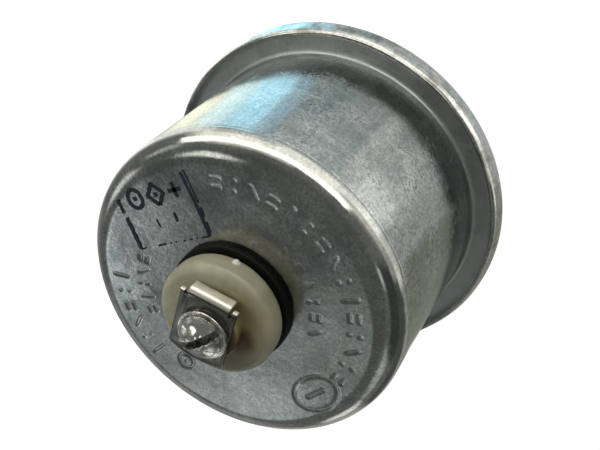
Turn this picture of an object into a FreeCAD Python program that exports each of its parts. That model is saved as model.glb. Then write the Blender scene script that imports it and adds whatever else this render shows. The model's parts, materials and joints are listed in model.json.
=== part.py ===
"""Rheostat oil pressure sender with a crimped round can and one screw terminal.

Millimetres. +Z runs up the can towards the terminal. The origin is on the axis, in the plane
where the threaded stub meets the underside of the hexagon. The lug of the terminal plate points to +Y.
"""
import FreeCAD
import Part
import math
import os

# ---- driving dimensions ------------------------------------------------------------------
CAN_R = 30.0            # outside of the can's wall
CAN_T = 0.8             # sheet of the can
CAN_CORNER = 4.5        # outside radius between the face and the wall
CAN_FOOT_FILLET = 1.1   # radius between the wall and the flange
FLANGE_R = 34.85        # outside of every flange held in the crimp
FLANGE_Z = 14.3         # upper side of the can's flange
FACE_Z = 55.7           # outer face of the can

RIM_R = 35.7            # outside of the crimped rim
RIM_INNER_R = 34.3      # inner edge of the curled lip
RIM_TOP_Z = 16.2        # crest of the curled lip
RIM_CORNER = 1.8        # outer radius where the dish's floor turns up into the rim
DISH_T = 1.0            # sheet of the base dish
PAN_R = 17.0            # flat middle of the dish
PAN_SLOPE = 4.0         # width of the cone round the flat middle
PAN_SHIFT = 0.4         # the cone's upper side lies this much nearer the axis
PAN_Z = 7.0             # underside of the flat middle

THREAD_R = 7.0          # M14 thread, drawn at its major diameter
THREAD_LENGTH = 13.0
THREAD_CHAMFER = 1.0
HEX_ACROSS_FLATS = 22.0
HEX_H = 7.0
HEX_BEVEL = 1.4         # how far the hexagon's corners are turned down
PASSAGE_R = 1.5         # oil passage above the restrictor
PLUG_R = 3.0            # restrictor plug
PLUG_TOP_Z = -8.5
PLUG_BOTTOM_Z = -12.5
PLUG_HOLE_R = 0.4
SPIGOT_R = 7.6          # fitting's neck through the dish
SWAGE_R = 8.3
SWAGE_H = 0.8

GASKET_T = 0.5
GASKET_INNER_R = 21.5
DIAPHRAGM_T = 0.3
WAVE_INNER_R = 12.6     # corrugations run between these radii
WAVE_PITCH = 2.4
WAVE_COUNT = 3
WAVE_DEPTH = 0.7
SUPPORT_T = 1.0
SUPPORT_HOLE_R = 16.0

PUSHER_DISC_R = 12.0
PUSHER_DISC_T = 1.0
PUSHER_STEM_R = 2.2
PUSHER_TOP_Z = 22.0
PUSHER_TAPER = 0.4      # short cone between the stem and its ball end
RUNNING_GAP = 0.05      # radial clearance of every running fit
END_PLAY = 0.2          # between a hub's end and the bracket's cheek
TOUCH_GAP = 0.05        # left between faces that press on each other

BRIDGE_X = 22.0         # half length of the bridge over the pusher
BRIDGE_Y = 7.0
BRIDGE_Z = 17.0
BRIDGE_T = 1.2
FOOT_LENGTH = 5.0
CHEEK_INNER_Y = 5.0
CHEEK_T = 1.2
CHEEK_X = (-14.0, -2.5)
CHEEK_TOP_Z = 38.0
BRIDGE_RIVET_X = 19.6
BRIDGE_RIVET_Y = 4.0
BRIDGE_RIVET_R = 1.25

ROCKER_PIVOT = (-6.0, 24.0)     # x and z of the rocker's axle, which lies along Y
ROCKER_AXLE_R = 1.0
ROCKER_HUB_R = 2.2
ROCKER_ARM_Y = 2.8              # clear of the wiper's arm, which passes beside the post
ROCKER_ARM_T = 1.5
ROCKER_ARM_RISE = 0.7           # underside of the arm above the axle's centre
ROCKER_ARM_END_X = 2.6
ROCKER_POST_HALF_T = 0.75
ROCKER_POST_TOP_Z = 34.0
STROKE_SCREW_Z = 32.0           # height of the level screw that presses on the wiper
STROKE_SCREW_END = 4.4          # its slotted end, from the rocker's axle
STROKE_GAP = 0.28               # from its ball tip to the wiper's lug at rest
ZERO_SCREW_TOP = 6.6            # slotted end of the upright screw, above the rocker's axle
SCREW_M25_R = 1.25
BALL_TIP_R = 0.7
BALL_TIP_LENGTH = 0.6
DRIVER_SLOT_HALF_T = 0.25
DRIVER_SLOT_DEPTH = 0.7
NUT_ACROSS_FLATS = 5.0
NUT_H = 1.6

WIPER_PIVOT = (-10.5, 34.6)     # x and z of the wiper's axle, which lies along Y
WIPER_AXLE_R = 0.8
WIPER_HUB_R = 1.9
WIPER_NOSE_R = 1.3              # thinner end of the hub that carries the arm
WIPER_REST_DEG = -17.6          # lean of the arm from +Z towards -X at rest
WIPER_ARM_Y = 3.0
WIPER_ARM_T = 0.4
WIPER_ARM_HALF_WIDTH = 1.5
WIPER_EYE_R = 2.6
WIPER_CONTACT_RADIUS = 14.9
CONTACT_SHANK_R = 0.5
LUG_R = 0.6
LUG_LENGTH = 4.0
SPRING_X = -14.0
SPRING_Y = -2.5
SPRING_R = 1.5
SPRING_WIRE = 0.5
SPRING_HOOK = 3.0               # from an anchor to the first coil
TAIL_T = 0.8                    # arm on the hub that the spring hooks into

TRACK_INNER_R = 12.6            # rheostat former, about the wiper's axle
TRACK_OUTER_R = 17.2
TRACK_HALF_DEG = 29.0
WINDING_HALF_DEG = 19.5
TRACK_Y = 4.75
TRACK_T = 1.0
WINDING_T = 0.25
HOLDER_Y = CHEEK_INNER_Y + CHEEK_T
HOLDER_T = 1.2
HOLDER_FOOT_Z = 26.5
HOLDER_X = (-3.6, 7.6)          # sides of the holder's stem, from the wiper's axle
TRACK_RIVET_DEG = 26.3
TRACK_RIVET_R = 0.8
RIVET_HEAD_T = 0.5
BIG = 60.0                      # reach of cutting tools that have to pass right through

STRIP_T = 0.4                   # contact strip from the winding to the terminal
STRIP_HALF_WIDTH = 2.0
BUSH_FLANGE_R = 6.0
BUSH_FLANGE_T = 1.7
BUSH_R = 3.8
BUSH_BORE_R = 2.5 + RUNNING_GAP
INNER_WASHER_R = 9.0
INNER_WASHER_T = 1.2
BUSH_BASE_Z = FACE_Z - CAN_T - INNER_WASHER_T - BUSH_FLANGE_T
FACE_HOLE_R = 5.5
RUBBER_R = 11.2
RUBBER_T = 1.2
INSULATOR_R = 10.7
INSULATOR_TOP = 7.0             # heights from here on are above the can's face
INSULATOR_EDGE = 1.3
INSULATOR_FOOT = 2.0            # radius from the seat on the rubber out to the side
BOSS_R = 5.6
PLATE_TOP = 10.0
PLATE_T = 0.9
PLATE_HALF_WIDTH = 5.1
PLATE_END_R = 12.8
PLATE_END_Y = -6.4
PLATE_SHOULDER_Y = 6.7
PLATE_HOLE_R = 3.15
PLATE_SHIFT_X = -0.6            # the plate sits to one side by its hole's slack on the screw
LUG_HALF_WIDTH = 3.8
LUG_FACE_Y = 7.2
LUG_BOTTOM = 7.4
LUG_BEND_R = 0.15               # inside radius of the bend
NOTCH_WIDTH = 0.5
NOTCH_DEPTH = 1.1
WASHER_R = 4.6
WASHER_T = 1.0
SCREW_R = 2.5
SCREW_LENGTH = 10.0
HEAD_R = 4.05
HEAD_H = 2.5
HEAD_EDGE = 0.5
SLOT_WIDTH = 1.2
SLOT_DEPTH = 1.4
SLOT_DEG = 46.5

Z_AXIS = FreeCAD.Vector(0, 0, 1)
Y_AXIS = FreeCAD.Vector(0, 1, 0)
ORIGIN = FreeCAD.Vector(0, 0, 0)


# ---- shape helpers -----------------------------------------------------------------------
def vec(x, y, z):
    return FreeCAD.Vector(x, y, z)


def cylinder(radius, z_low, z_high, x=0.0, y=0.0):
    return Part.makeCylinder(radius, z_high - z_low, vec(x, y, z_low))


def ring(outer, inner, z_low, z_high):
    return cylinder(outer, z_low, z_high).cut(cylinder(inner, z_low - 1, z_high + 1))


def cylinder_y(radius, x, z, y_low, y_high):
    return Part.makeCylinder(radius, y_high - y_low, vec(x, y_low, z), Y_AXIS)


def cylinder_x(radius, y, z, x_low, x_high):
    return Part.makeCylinder(radius, x_high - x_low, vec(x_low, y, z), vec(1, 0, 0))


def block(x_range, y_range, z_range):
    size = [high - low for low, high in (x_range, y_range, z_range)]
    return Part.makeBox(size[0], size[1], size[2], vec(x_range[0], y_range[0], z_range[0]))


def arc(start, middle, end):
    """An arc through three (radius, height) points in the XZ plane."""
    return Part.Arc(*[vec(r, 0, z) for r, z in (start, middle, end)]).toShape()


def line(start, end):
    return Part.LineSegment(vec(start[0], 0, start[1]), vec(end[0], 0, end[1])).toShape()


def round_corner(centre, radius, from_deg, to_deg):
    """A round corner of a turned outline, as its three (radius, height) points."""
    points = []
    for angle in (from_deg, 0.5 * (from_deg + to_deg), to_deg):
        a = math.radians(angle)
        points.append((centre[0] + radius * math.cos(a), centre[1] + radius * math.sin(a)))
    return tuple(points)


def turned(outline):
    """Revolve a closed outline of (radius, height) points; a triple of points is an arc."""
    edges = []
    ends = [(item[0], item[-1]) if isinstance(item[0], tuple) else (item, item) for item in outline]
    for i, item in enumerate(outline):
        if isinstance(item[0], tuple):
            edges.append(arc(*item))
        start = ends[i][1]
        end = ends[(i + 1) % len(outline)][0]
        if math.dist(start, end) > 1e-6:
            edges.append(line(start, end))
    face = Part.Face(Part.Wire(edges))
    return face.revolve(ORIGIN, Z_AXIS, 360)


def hexagon(across_flats, height, base=ORIGIN, normal=Z_AXIS):
    corner_r = across_flats / math.sqrt(3)
    points = []
    for i in range(7):
        a = math.radians(30 + 60 * i)
        points.append(vec(corner_r * math.cos(a), corner_r * math.sin(a), 0))
    prism = Part.Face(Part.makePolygon(points)).extrude(vec(0, 0, height))
    prism.Placement = FreeCAD.Placement(base, FreeCAD.Rotation(Z_AXIS, normal))
    return prism


def sector(centre, inner, outer, half_deg, y_low, y_high):
    """A ring sector in an XZ plane about a centre (x, z), symmetric about +Z."""
    solid = cylinder_y(outer, centre[0], centre[1], y_low, y_high)
    solid = solid.cut(cylinder_y(inner, centre[0], centre[1], y_low - 1, y_high + 1))
    reach = 2 * outer
    a = math.radians(half_deg)
    across = reach * math.sin(a)
    up = reach * math.cos(a)
    points = [vec(centre[0] + x, y_low - 1, centre[1] + z) for x, z in ((0, 0), (-across, up), (across, up))]
    wedge = Part.Face(Part.makePolygon(points + points[:1])).extrude(vec(0, y_high - y_low + 2, 0))
    return solid.common(wedge)


def about_wiper(shape, degrees):
    """Turn a shape about the wiper's axle; positive leans +Z towards +X."""
    turned_shape = shape.copy()
    turned_shape.rotate(vec(WIPER_PIVOT[0], 0, WIPER_PIVOT[1]), Y_AXIS, degrees)
    return turned_shape


def fused(shapes):
    result = shapes[0]
    for other in shapes[1:]:
        result = result.fuse(other)
    return result.removeSplitter()


# ---- pressure side -----------------------------------------------------------------------
def hex_fitting():
    turned_body = turned([
        (0, -THREAD_LENGTH), (THREAD_R - THREAD_CHAMFER, -THREAD_LENGTH),
        (THREAD_R, -THREAD_LENGTH + THREAD_CHAMFER), (THREAD_R, 0), (SPIGOT_R, 0),
        (SPIGOT_R, PAN_Z + DISH_T), (SWAGE_R, PAN_Z + DISH_T), (SWAGE_R - 0.4, PAN_Z + DISH_T + SWAGE_H),
        (0, PAN_Z + DISH_T + SWAGE_H)])
    corner_r = HEX_ACROSS_FLATS / math.sqrt(3)
    bevel_rise = HEX_BEVEL * math.tan(math.radians(30))
    envelope = turned([
        (0, 0), (corner_r - HEX_BEVEL, 0), (corner_r + 0.1, bevel_rise), (corner_r + 0.1, HEX_H - bevel_rise),
        (corner_r - HEX_BEVEL, HEX_H), (0, HEX_H)])
    nut = hexagon(HEX_ACROSS_FLATS, HEX_H).common(envelope)
    bored = turned_body.fuse(nut)
    bored = bored.cut(cylinder(PASSAGE_R, -THREAD_LENGTH - 1, PAN_Z + DISH_T + SWAGE_H + 1))
    return bored.cut(cylinder(PLUG_R, -THREAD_LENGTH - 1, PLUG_TOP_Z)).removeSplitter()


def restrictor_plug():
    return ring(PLUG_R, PLUG_HOLE_R, PLUG_BOTTOM_Z, PLUG_TOP_Z)


def base_dish():
    ledge_z = FLANGE_Z - CAN_T - SUPPORT_T - DIAPHRAGM_T - GASKET_T
    lip_r = 0.5 * (RIM_R - RIM_INNER_R)
    lip_middle = RIM_R - lip_r
    under_z = ledge_z - DISH_T
    return turned([
        (SPIGOT_R, PAN_Z), (PAN_R, PAN_Z), (PAN_R + PAN_SLOPE, under_z),
        round_corner((RIM_R - RIM_CORNER, under_z + RIM_CORNER), RIM_CORNER, -90, 0),
        round_corner((lip_middle, RIM_TOP_Z - lip_r), lip_r, 0, 180),
        (RIM_INNER_R, FLANGE_Z), (FLANGE_R, FLANGE_Z), (FLANGE_R, ledge_z),
        (PAN_R + PAN_SLOPE - PAN_SHIFT, ledge_z), (PAN_R - PAN_SHIFT, PAN_Z + DISH_T),
        (SPIGOT_R, PAN_Z + DISH_T)])


def crimp_gasket():
    top = FLANGE_Z - CAN_T - SUPPORT_T - DIAPHRAGM_T
    return ring(FLANGE_R, GASKET_INNER_R, top - GASKET_T, top)


def diaphragm():
    """Thin disc with round corrugations that hang below its plane."""
    top = FLANGE_Z - CAN_T - SUPPORT_T
    low = top - DIAPHRAGM_T
    upper = []
    lower = []
    for i in range(WAVE_COUNT):
        start = WAVE_INNER_R + i * WAVE_PITCH
        middle = start + 0.5 * WAVE_PITCH
        end = start + WAVE_PITCH
        lower.append(((start + 0.05, low), (middle, low - WAVE_DEPTH), (end - 0.05, low)))
        upper.insert(0, ((end - 0.2, top), (middle, top - WAVE_DEPTH), (start + 0.2, top)))
    return turned([(0, low)] + lower + [(FLANGE_R, low), (FLANGE_R, top)] + upper + [(0, top)])


def support_plate():
    """Ring under the can's flange that carries the mechanism; drilled for the bracket's rivets."""
    top = FLANGE_Z - CAN_T
    plate = ring(FLANGE_R, SUPPORT_HOLE_R, top - SUPPORT_T, top)
    for x, y in bridge_rivet_places():
        plate = plate.cut(cylinder(BRIDGE_RIVET_R, 0, FLANGE_Z, x, y))
    return plate


# ---- can ---------------------------------------------------------------------------------
def cover_can():
    inner_corner = CAN_CORNER - CAN_T
    corner_centre = (CAN_R - CAN_CORNER, FACE_Z - CAN_CORNER)
    outer_foot = (CAN_R + CAN_FOOT_FILLET, FLANGE_Z + CAN_FOOT_FILLET)
    return turned([
        (FACE_HOLE_R, FACE_Z), round_corner(corner_centre, CAN_CORNER, 90, 0),
        round_corner(outer_foot, CAN_FOOT_FILLET, 180, 270),
        (FLANGE_R, FLANGE_Z), (FLANGE_R, FLANGE_Z - CAN_T),
        round_corner(outer_foot, CAN_FOOT_FILLET + CAN_T, 270, 180),
        round_corner(corner_centre, inner_corner, 0, 90), (FACE_HOLE_R, FACE_Z - CAN_T)])


# ---- mechanism ---------------------------------------------------------------------------
def pusher():
    base = FLANGE_Z - CAN_T - SUPPORT_T
    dome = PUSHER_STEM_R * 0.4
    tip = Part.makeSphere(PUSHER_STEM_R, ORIGIN)
    tip = tip.common(block((-BIG, BIG), (-BIG, BIG), (PUSHER_STEM_R - dome, BIG)))
    tip.translate(vec(0, 0, PUSHER_TOP_Z - PUSHER_STEM_R))
    cap_r = math.sqrt(PUSHER_STEM_R ** 2 - (PUSHER_STEM_R - dome) ** 2)
    neck_z = PUSHER_TOP_Z - dome - PUSHER_TAPER
    neck = Part.makeCone(PUSHER_STEM_R, cap_r, PUSHER_TAPER, vec(0, 0, neck_z))
    return fused([cylinder(PUSHER_DISC_R, base, base + PUSHER_DISC_T),
                  cylinder(PUSHER_STEM_R, base, neck_z), neck, tip])


def mechanism_bracket():
    floor = FLANGE_Z - CAN_T
    web_top = BRIDGE_Z + BRIDGE_T
    web = block((-BRIDGE_X + FOOT_LENGTH, BRIDGE_X - FOOT_LENGTH), (-BRIDGE_Y, BRIDGE_Y), (BRIDGE_Z, web_top))
    solids = [web]
    for side in (-1, 1):
        leg_x = sorted((side * (BRIDGE_X - FOOT_LENGTH), side * (BRIDGE_X - FOOT_LENGTH - BRIDGE_T)))
        foot_x = sorted((side * BRIDGE_X, side * (BRIDGE_X - FOOT_LENGTH - BRIDGE_T)))
        solids.append(block(leg_x, (-BRIDGE_Y, BRIDGE_Y), (floor, web_top)))
        solids.append(block(foot_x, (-BRIDGE_Y, BRIDGE_Y), (floor, floor + BRIDGE_T)))
        cheek_y = sorted((side * CHEEK_INNER_Y, side * (CHEEK_INNER_Y + CHEEK_T)))
        solids.append(block(CHEEK_X, cheek_y, (BRIDGE_Z, CHEEK_TOP_Z)))
    bracket = fused(solids)
    bracket = bracket.cut(cylinder(PUSHER_STEM_R + RUNNING_GAP, BRIDGE_Z - 1, web_top + 1))
    for (x, z), radius in ((ROCKER_PIVOT, ROCKER_AXLE_R), (WIPER_PIVOT, WIPER_AXLE_R)):
        bracket = bracket.cut(cylinder_y(radius, x, z, -BIG, BIG))
    for x, y in bridge_rivet_places():
        bracket = bracket.cut(cylinder(BRIDGE_RIVET_R, 0, BRIDGE_Z, x, y))
    for x, z in holder_rivet_places():
        bracket = bracket.cut(cylinder_y(TRACK_RIVET_R, x, z, CHEEK_INNER_Y - 1, HOLDER_Y + 1))
    return bracket


def bridge_rivet_places():
    return [(sx * BRIDGE_RIVET_X, sy * BRIDGE_RIVET_Y) for sx in (-1, 1) for sy in (-1, 1)]


def holder_rivet_places():
    """Two rivets join the rheostat holder to the bracket's +Y cheek."""
    return [(-12.6, 29.0), (-4.2, 36.0)]


def bridge_rivets():
    floor = FLANGE_Z - CAN_T
    top = floor + BRIDGE_T
    solids = []
    for x, y in bridge_rivet_places():
        shank = cylinder(BRIDGE_RIVET_R, floor - SUPPORT_T, top, x, y)
        head = cylinder(2 * BRIDGE_RIVET_R, top, top + 2 * RIVET_HEAD_T, x, y)
        solids.append(fused([shank, head]))
    return Part.makeCompound(solids)


def rocker_lever():
    """Bell crank: a level arm over the pusher and an upright post beside the wiper's lug."""
    px, pz = ROCKER_PIVOT
    arm_z = (pz + ROCKER_ARM_RISE, pz + ROCKER_ARM_RISE + ROCKER_ARM_T)
    post_x = (px - ROCKER_POST_HALF_T, px + ROCKER_POST_HALF_T)
    hub_end = CHEEK_INNER_Y - END_PLAY
    solids = [
        cylinder_y(ROCKER_HUB_R, px, pz, -hub_end, hub_end),
        block((px, ROCKER_ARM_END_X), (-ROCKER_ARM_Y, ROCKER_ARM_Y), arm_z),
        block(post_x, (-ROCKER_ARM_Y, ROCKER_ARM_Y), (pz, ROCKER_POST_TOP_Z))]
    lever = fused(solids)
    lever = lever.cut(cylinder_y(ROCKER_AXLE_R + RUNNING_GAP, px, pz, -BIG, BIG))
    lever = lever.cut(cylinder(SCREW_M25_R, arm_z[0] - 1, arm_z[1] + 1))
    return lever.cut(cylinder_x(SCREW_M25_R, 0, STROKE_SCREW_Z, post_x[0] - 1, post_x[1] + 1))


def axle(pivot, radius):
    return cylinder_y(radius, pivot[0], pivot[1], -HOLDER_Y, HOLDER_Y)


def adjusting_screws():
    """Zero screw over the pusher and stroke screw against the wiper's lug, both with ball tips."""
    slot_y = (-DRIVER_SLOT_HALF_T, DRIVER_SLOT_HALF_T)
    tip_z = PUSHER_TOP_Z + TOUCH_GAP + BALL_TIP_R
    top = ROCKER_PIVOT[1] + ZERO_SCREW_TOP
    zero = fused([cylinder(SCREW_M25_R, tip_z + BALL_TIP_LENGTH, top),
                  cylinder(BALL_TIP_R, tip_z, tip_z + BALL_TIP_LENGTH),
                  Part.makeSphere(BALL_TIP_R, vec(0, 0, tip_z))])
    zero = zero.cut(block((-BIG, BIG), slot_y, (top - DRIVER_SLOT_DEPTH, BIG)))
    tip_x = WIPER_PIVOT[0] + LUG_R + STROKE_GAP + BALL_TIP_R
    end = ROCKER_PIVOT[0] + STROKE_SCREW_END
    stroke = fused([cylinder_x(SCREW_M25_R, 0, STROKE_SCREW_Z, tip_x + BALL_TIP_LENGTH, end),
                    cylinder_x(BALL_TIP_R, 0, STROKE_SCREW_Z, tip_x, tip_x + BALL_TIP_LENGTH),
                    Part.makeSphere(BALL_TIP_R, vec(tip_x, 0, STROKE_SCREW_Z))])
    stroke = stroke.cut(block((end - DRIVER_SLOT_DEPTH, BIG), slot_y, (0, BIG)))
    return Part.makeCompound([zero, stroke])


def lock_nuts():
    arm_top = ROCKER_PIVOT[1] + ROCKER_ARM_RISE + ROCKER_ARM_T
    zero = hexagon(NUT_ACROSS_FLATS, NUT_H, vec(0, 0, arm_top))
    zero = zero.cut(cylinder(SCREW_M25_R, 0, BIG))
    post_side = ROCKER_PIVOT[0] + ROCKER_POST_HALF_T
    stroke = hexagon(NUT_ACROSS_FLATS, NUT_H, vec(post_side, 0, STROKE_SCREW_Z), vec(1, 0, 0))
    stroke = stroke.cut(cylinder_x(SCREW_M25_R, 0, STROKE_SCREW_Z, -BIG, BIG))
    return Part.makeCompound([zero, stroke])


def wiper_hub():
    """Brass sleeve with the lug that the stroke screw pushes and the tail for the spring."""
    px, pz = WIPER_PIVOT
    end = CHEEK_INNER_Y - END_PLAY
    sleeve = cylinder_y(WIPER_HUB_R, px, pz, -end, WIPER_ARM_Y)
    nose = cylinder_y(WIPER_NOSE_R, px, pz, WIPER_ARM_Y, end)
    lug = Part.makeCylinder(LUG_R, LUG_LENGTH, vec(px, 0, pz - LUG_LENGTH))
    tail_y = (SPRING_Y - 0.5 * TAIL_T, SPRING_Y + 0.5 * TAIL_T)
    tail = block((SPRING_X - 2 * TAIL_T, px), tail_y, (pz - TAIL_T, pz + TAIL_T))
    tail = tail.cut(cylinder_y(0.9 * SPRING_WIRE, SPRING_X, pz, -BIG, BIG))
    hub = fused([sleeve, nose, lug, tail])
    return hub.cut(cylinder_y(WIPER_AXLE_R + RUNNING_GAP, px, pz, -BIG, BIG))


def wiper_arm():
    """Bronze spring strip from the hub to the contact."""
    px, pz = WIPER_PIVOT
    half = WIPER_ARM_HALF_WIDTH
    y_range = (WIPER_ARM_Y, WIPER_ARM_Y + WIPER_ARM_T)
    strip = block((px - half, px + half), y_range, (pz, pz + WIPER_CONTACT_RADIUS + 0.8 * half))
    strip = fused([strip, cylinder_y(WIPER_EYE_R, px, pz, *y_range)])
    strip = strip.cut(cylinder_y(WIPER_NOSE_R, px, pz, -BIG, BIG))
    strip = strip.cut(cylinder_y(CONTACT_SHANK_R, px, pz + WIPER_CONTACT_RADIUS, -BIG, BIG))
    return about_wiper(strip, WIPER_REST_DEG)


def wiper_contact():
    """Silver contact rivet at the end of the arm, just clear of the winding."""
    px, pz = WIPER_PIVOT
    z = pz + WIPER_CONTACT_RADIUS
    face = WIPER_ARM_Y + WIPER_ARM_T
    track_face = TRACK_Y - WINDING_T
    back_y = WIPER_ARM_Y - WIPER_ARM_T
    shank = cylinder_y(CONTACT_SHANK_R, px, z, back_y, face)
    head = cylinder_y(1.5 * CONTACT_SHANK_R, px, z, face, track_face - 6 * TOUCH_GAP)
    button = cylinder_y(1.2 * CONTACT_SHANK_R, px, z, face, track_face - TOUCH_GAP)
    back = cylinder_y(1.6 * CONTACT_SHANK_R, px, z, back_y, WIPER_ARM_Y)
    return about_wiper(fused([shank, head, button, back]), WIPER_REST_DEG)


def return_spring():
    """Closed tube of the tension spring's outer shape, with its two end hooks."""
    anchor = BRIDGE_Z + BRIDGE_T
    low = anchor + SPRING_HOOK
    high = WIPER_PIVOT[1] - SPRING_HOOK
    inside_r = SPRING_R - SPRING_WIRE
    wire_r = 0.5 * SPRING_WIRE
    coil = cylinder(SPRING_R, low, high, SPRING_X, SPRING_Y)
    coil = coil.cut(cylinder(inside_r, low + SPRING_WIRE, high - SPRING_WIRE, SPRING_X, SPRING_Y))
    lower_hook = cylinder(wire_r, anchor, low + wire_r, SPRING_X, SPRING_Y)
    upper_hook = cylinder(wire_r, high - wire_r, WIPER_PIVOT[1] - TAIL_T - TOUCH_GAP, SPRING_X, SPRING_Y)
    return fused([coil, lower_hook, upper_hook])


# ---- rheostat ----------------------------------------------------------------------------
def track_rivet_places():
    radius = 0.5 * (TRACK_INNER_R + TRACK_OUTER_R)
    places = []
    for side in (-1, 1):
        a = math.radians(side * TRACK_RIVET_DEG)
        places.append((WIPER_PIVOT[0] + radius * math.sin(a), WIPER_PIVOT[1] + radius * math.cos(a)))
    return places


def rheostat_former():
    """Flat card, a ring sector about the wiper's axle, that the resistance wire is wound on."""
    card = sector(WIPER_PIVOT, TRACK_INNER_R, TRACK_OUTER_R, TRACK_HALF_DEG, TRACK_Y, TRACK_Y + TRACK_T)
    for x, z in track_rivet_places():
        card = card.cut(cylinder_y(TRACK_RIVET_R, x, z, 0, BIG))
    return card


def resistance_winding():
    low = TRACK_Y - WINDING_T
    high = TRACK_Y + TRACK_T + WINDING_T
    inner = TRACK_INNER_R - WINDING_T
    outer = TRACK_OUTER_R + WINDING_T
    sleeve = sector(WIPER_PIVOT, inner, outer, WINDING_HALF_DEG, low, high)
    core = sector(WIPER_PIVOT, TRACK_INNER_R, TRACK_OUTER_R, TRACK_HALF_DEG, TRACK_Y, TRACK_Y + TRACK_T)
    return sleeve.cut(core)


def rheostat_holder():
    """Insulating plate on the bracket's +Y cheek that carries the wound former."""
    px, pz = WIPER_PIVOT
    y_range = (HOLDER_Y, HOLDER_Y + HOLDER_T)
    stem_x = (px + HOLDER_X[0], px + HOLDER_X[1])
    stem = block(stem_x, y_range, (HOLDER_FOOT_Z, pz + TRACK_INNER_R + 1))
    fan = sector(WIPER_PIVOT, 0.5 * TRACK_INNER_R, TRACK_OUTER_R, TRACK_HALF_DEG + 1.5, *y_range)
    holder = fused([stem, fan])
    holder = holder.cut(cylinder_y(2 * WIPER_AXLE_R, px, pz, 0, BIG))
    for x, z in track_rivet_places() + holder_rivet_places():
        holder = holder.cut(cylinder_y(TRACK_RIVET_R, x, z, 0, BIG))
    return holder


def headed_rivet(x, z, y_low, y_high):
    head_r = 1.9 * TRACK_RIVET_R
    return fused([cylinder_y(TRACK_RIVET_R, x, z, y_low, y_high),
                  cylinder_y(head_r, x, z, y_low - RIVET_HEAD_T, y_low),
                  cylinder_y(head_r, x, z, y_high, y_high + RIVET_HEAD_T)])


def holder_rivets():
    places = holder_rivet_places()
    return Part.makeCompound([headed_rivet(x, z, CHEEK_INNER_Y, HOLDER_Y + HOLDER_T) for x, z in places])


def track_rivets():
    """Rivets through the former's ends; the +X one also holds the contact strip."""
    solids = []
    for (x, z), strip in zip(track_rivet_places(), (0.0, STRIP_T)):
        spacer = cylinder_y(1.5 * TRACK_RIVET_R, x, z, TRACK_Y + TRACK_T, HOLDER_Y)
        rivet = headed_rivet(x, z, TRACK_Y, HOLDER_Y + HOLDER_T + strip)
        solids.append(fused([rivet, spacer]))
    return Part.makeCompound(solids)


# ---- terminal ----------------------------------------------------------------------------
def contact_strip():
    """Bronze strip from the end of the winding to the underside of the terminal bush."""
    x, z = track_rivet_places()[1]
    back = HOLDER_Y + HOLDER_T
    x_range = (x - STRIP_HALF_WIDTH, x + STRIP_HALF_WIDTH)
    upright = block(x_range, (back, back + STRIP_T), (z - 2.0, BUSH_BASE_Z))
    level_y = (-1.5 * STRIP_HALF_WIDTH, back + STRIP_T)
    level = block(x_range, level_y, (BUSH_BASE_Z - STRIP_T, BUSH_BASE_Z))
    strip = fused([upright, level])
    return strip.cut(cylinder_y(TRACK_RIVET_R, x, z, 0, BIG))


def terminal_bush():
    """Flanged brass bush, tapped blind from above, that carries the terminal through the can."""
    top = FACE_Z + PLATE_TOP - PLATE_T
    flange_top = FACE_Z - CAN_T - INNER_WASHER_T
    bush = fused([cylinder(BUSH_FLANGE_R, BUSH_BASE_Z, flange_top), cylinder(BUSH_R, BUSH_BASE_Z, top)])
    return bush.cut(cylinder(BUSH_BORE_R, flange_top, top + 1))


def inner_insulator():
    top = FACE_Z - CAN_T
    return ring(INNER_WASHER_R, BUSH_R, top - INNER_WASHER_T, top)


def rubber_washer():
    soft = 0.35
    top = FACE_Z + RUBBER_T
    return turned([
        (FACE_HOLE_R, FACE_Z), (RUBBER_R, FACE_Z),
        round_corner((RUBBER_R - soft, top - soft), soft, 0, 90), (FACE_HOLE_R, top)])


def terminal_insulator():
    """Moulded disc with a raised middle for the plate and a spigot through the can's hole."""
    foot = INSULATOR_FOOT
    low = FACE_Z + RUBBER_T
    top = FACE_Z + INSULATOR_TOP
    boss_top = FACE_Z + PLATE_TOP - PLATE_T
    return turned([
        (BUSH_R, FACE_Z - CAN_T), (FACE_HOLE_R, FACE_Z - CAN_T), (FACE_HOLE_R, low),
        round_corner((INSULATOR_R - foot, low + foot), foot, -90, 0),
        round_corner((INSULATOR_R - INSULATOR_EDGE, top - INSULATOR_EDGE), INSULATOR_EDGE, 0, 90),
        (BOSS_R, top), (BOSS_R, boss_top), (BUSH_R, boss_top)])


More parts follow.
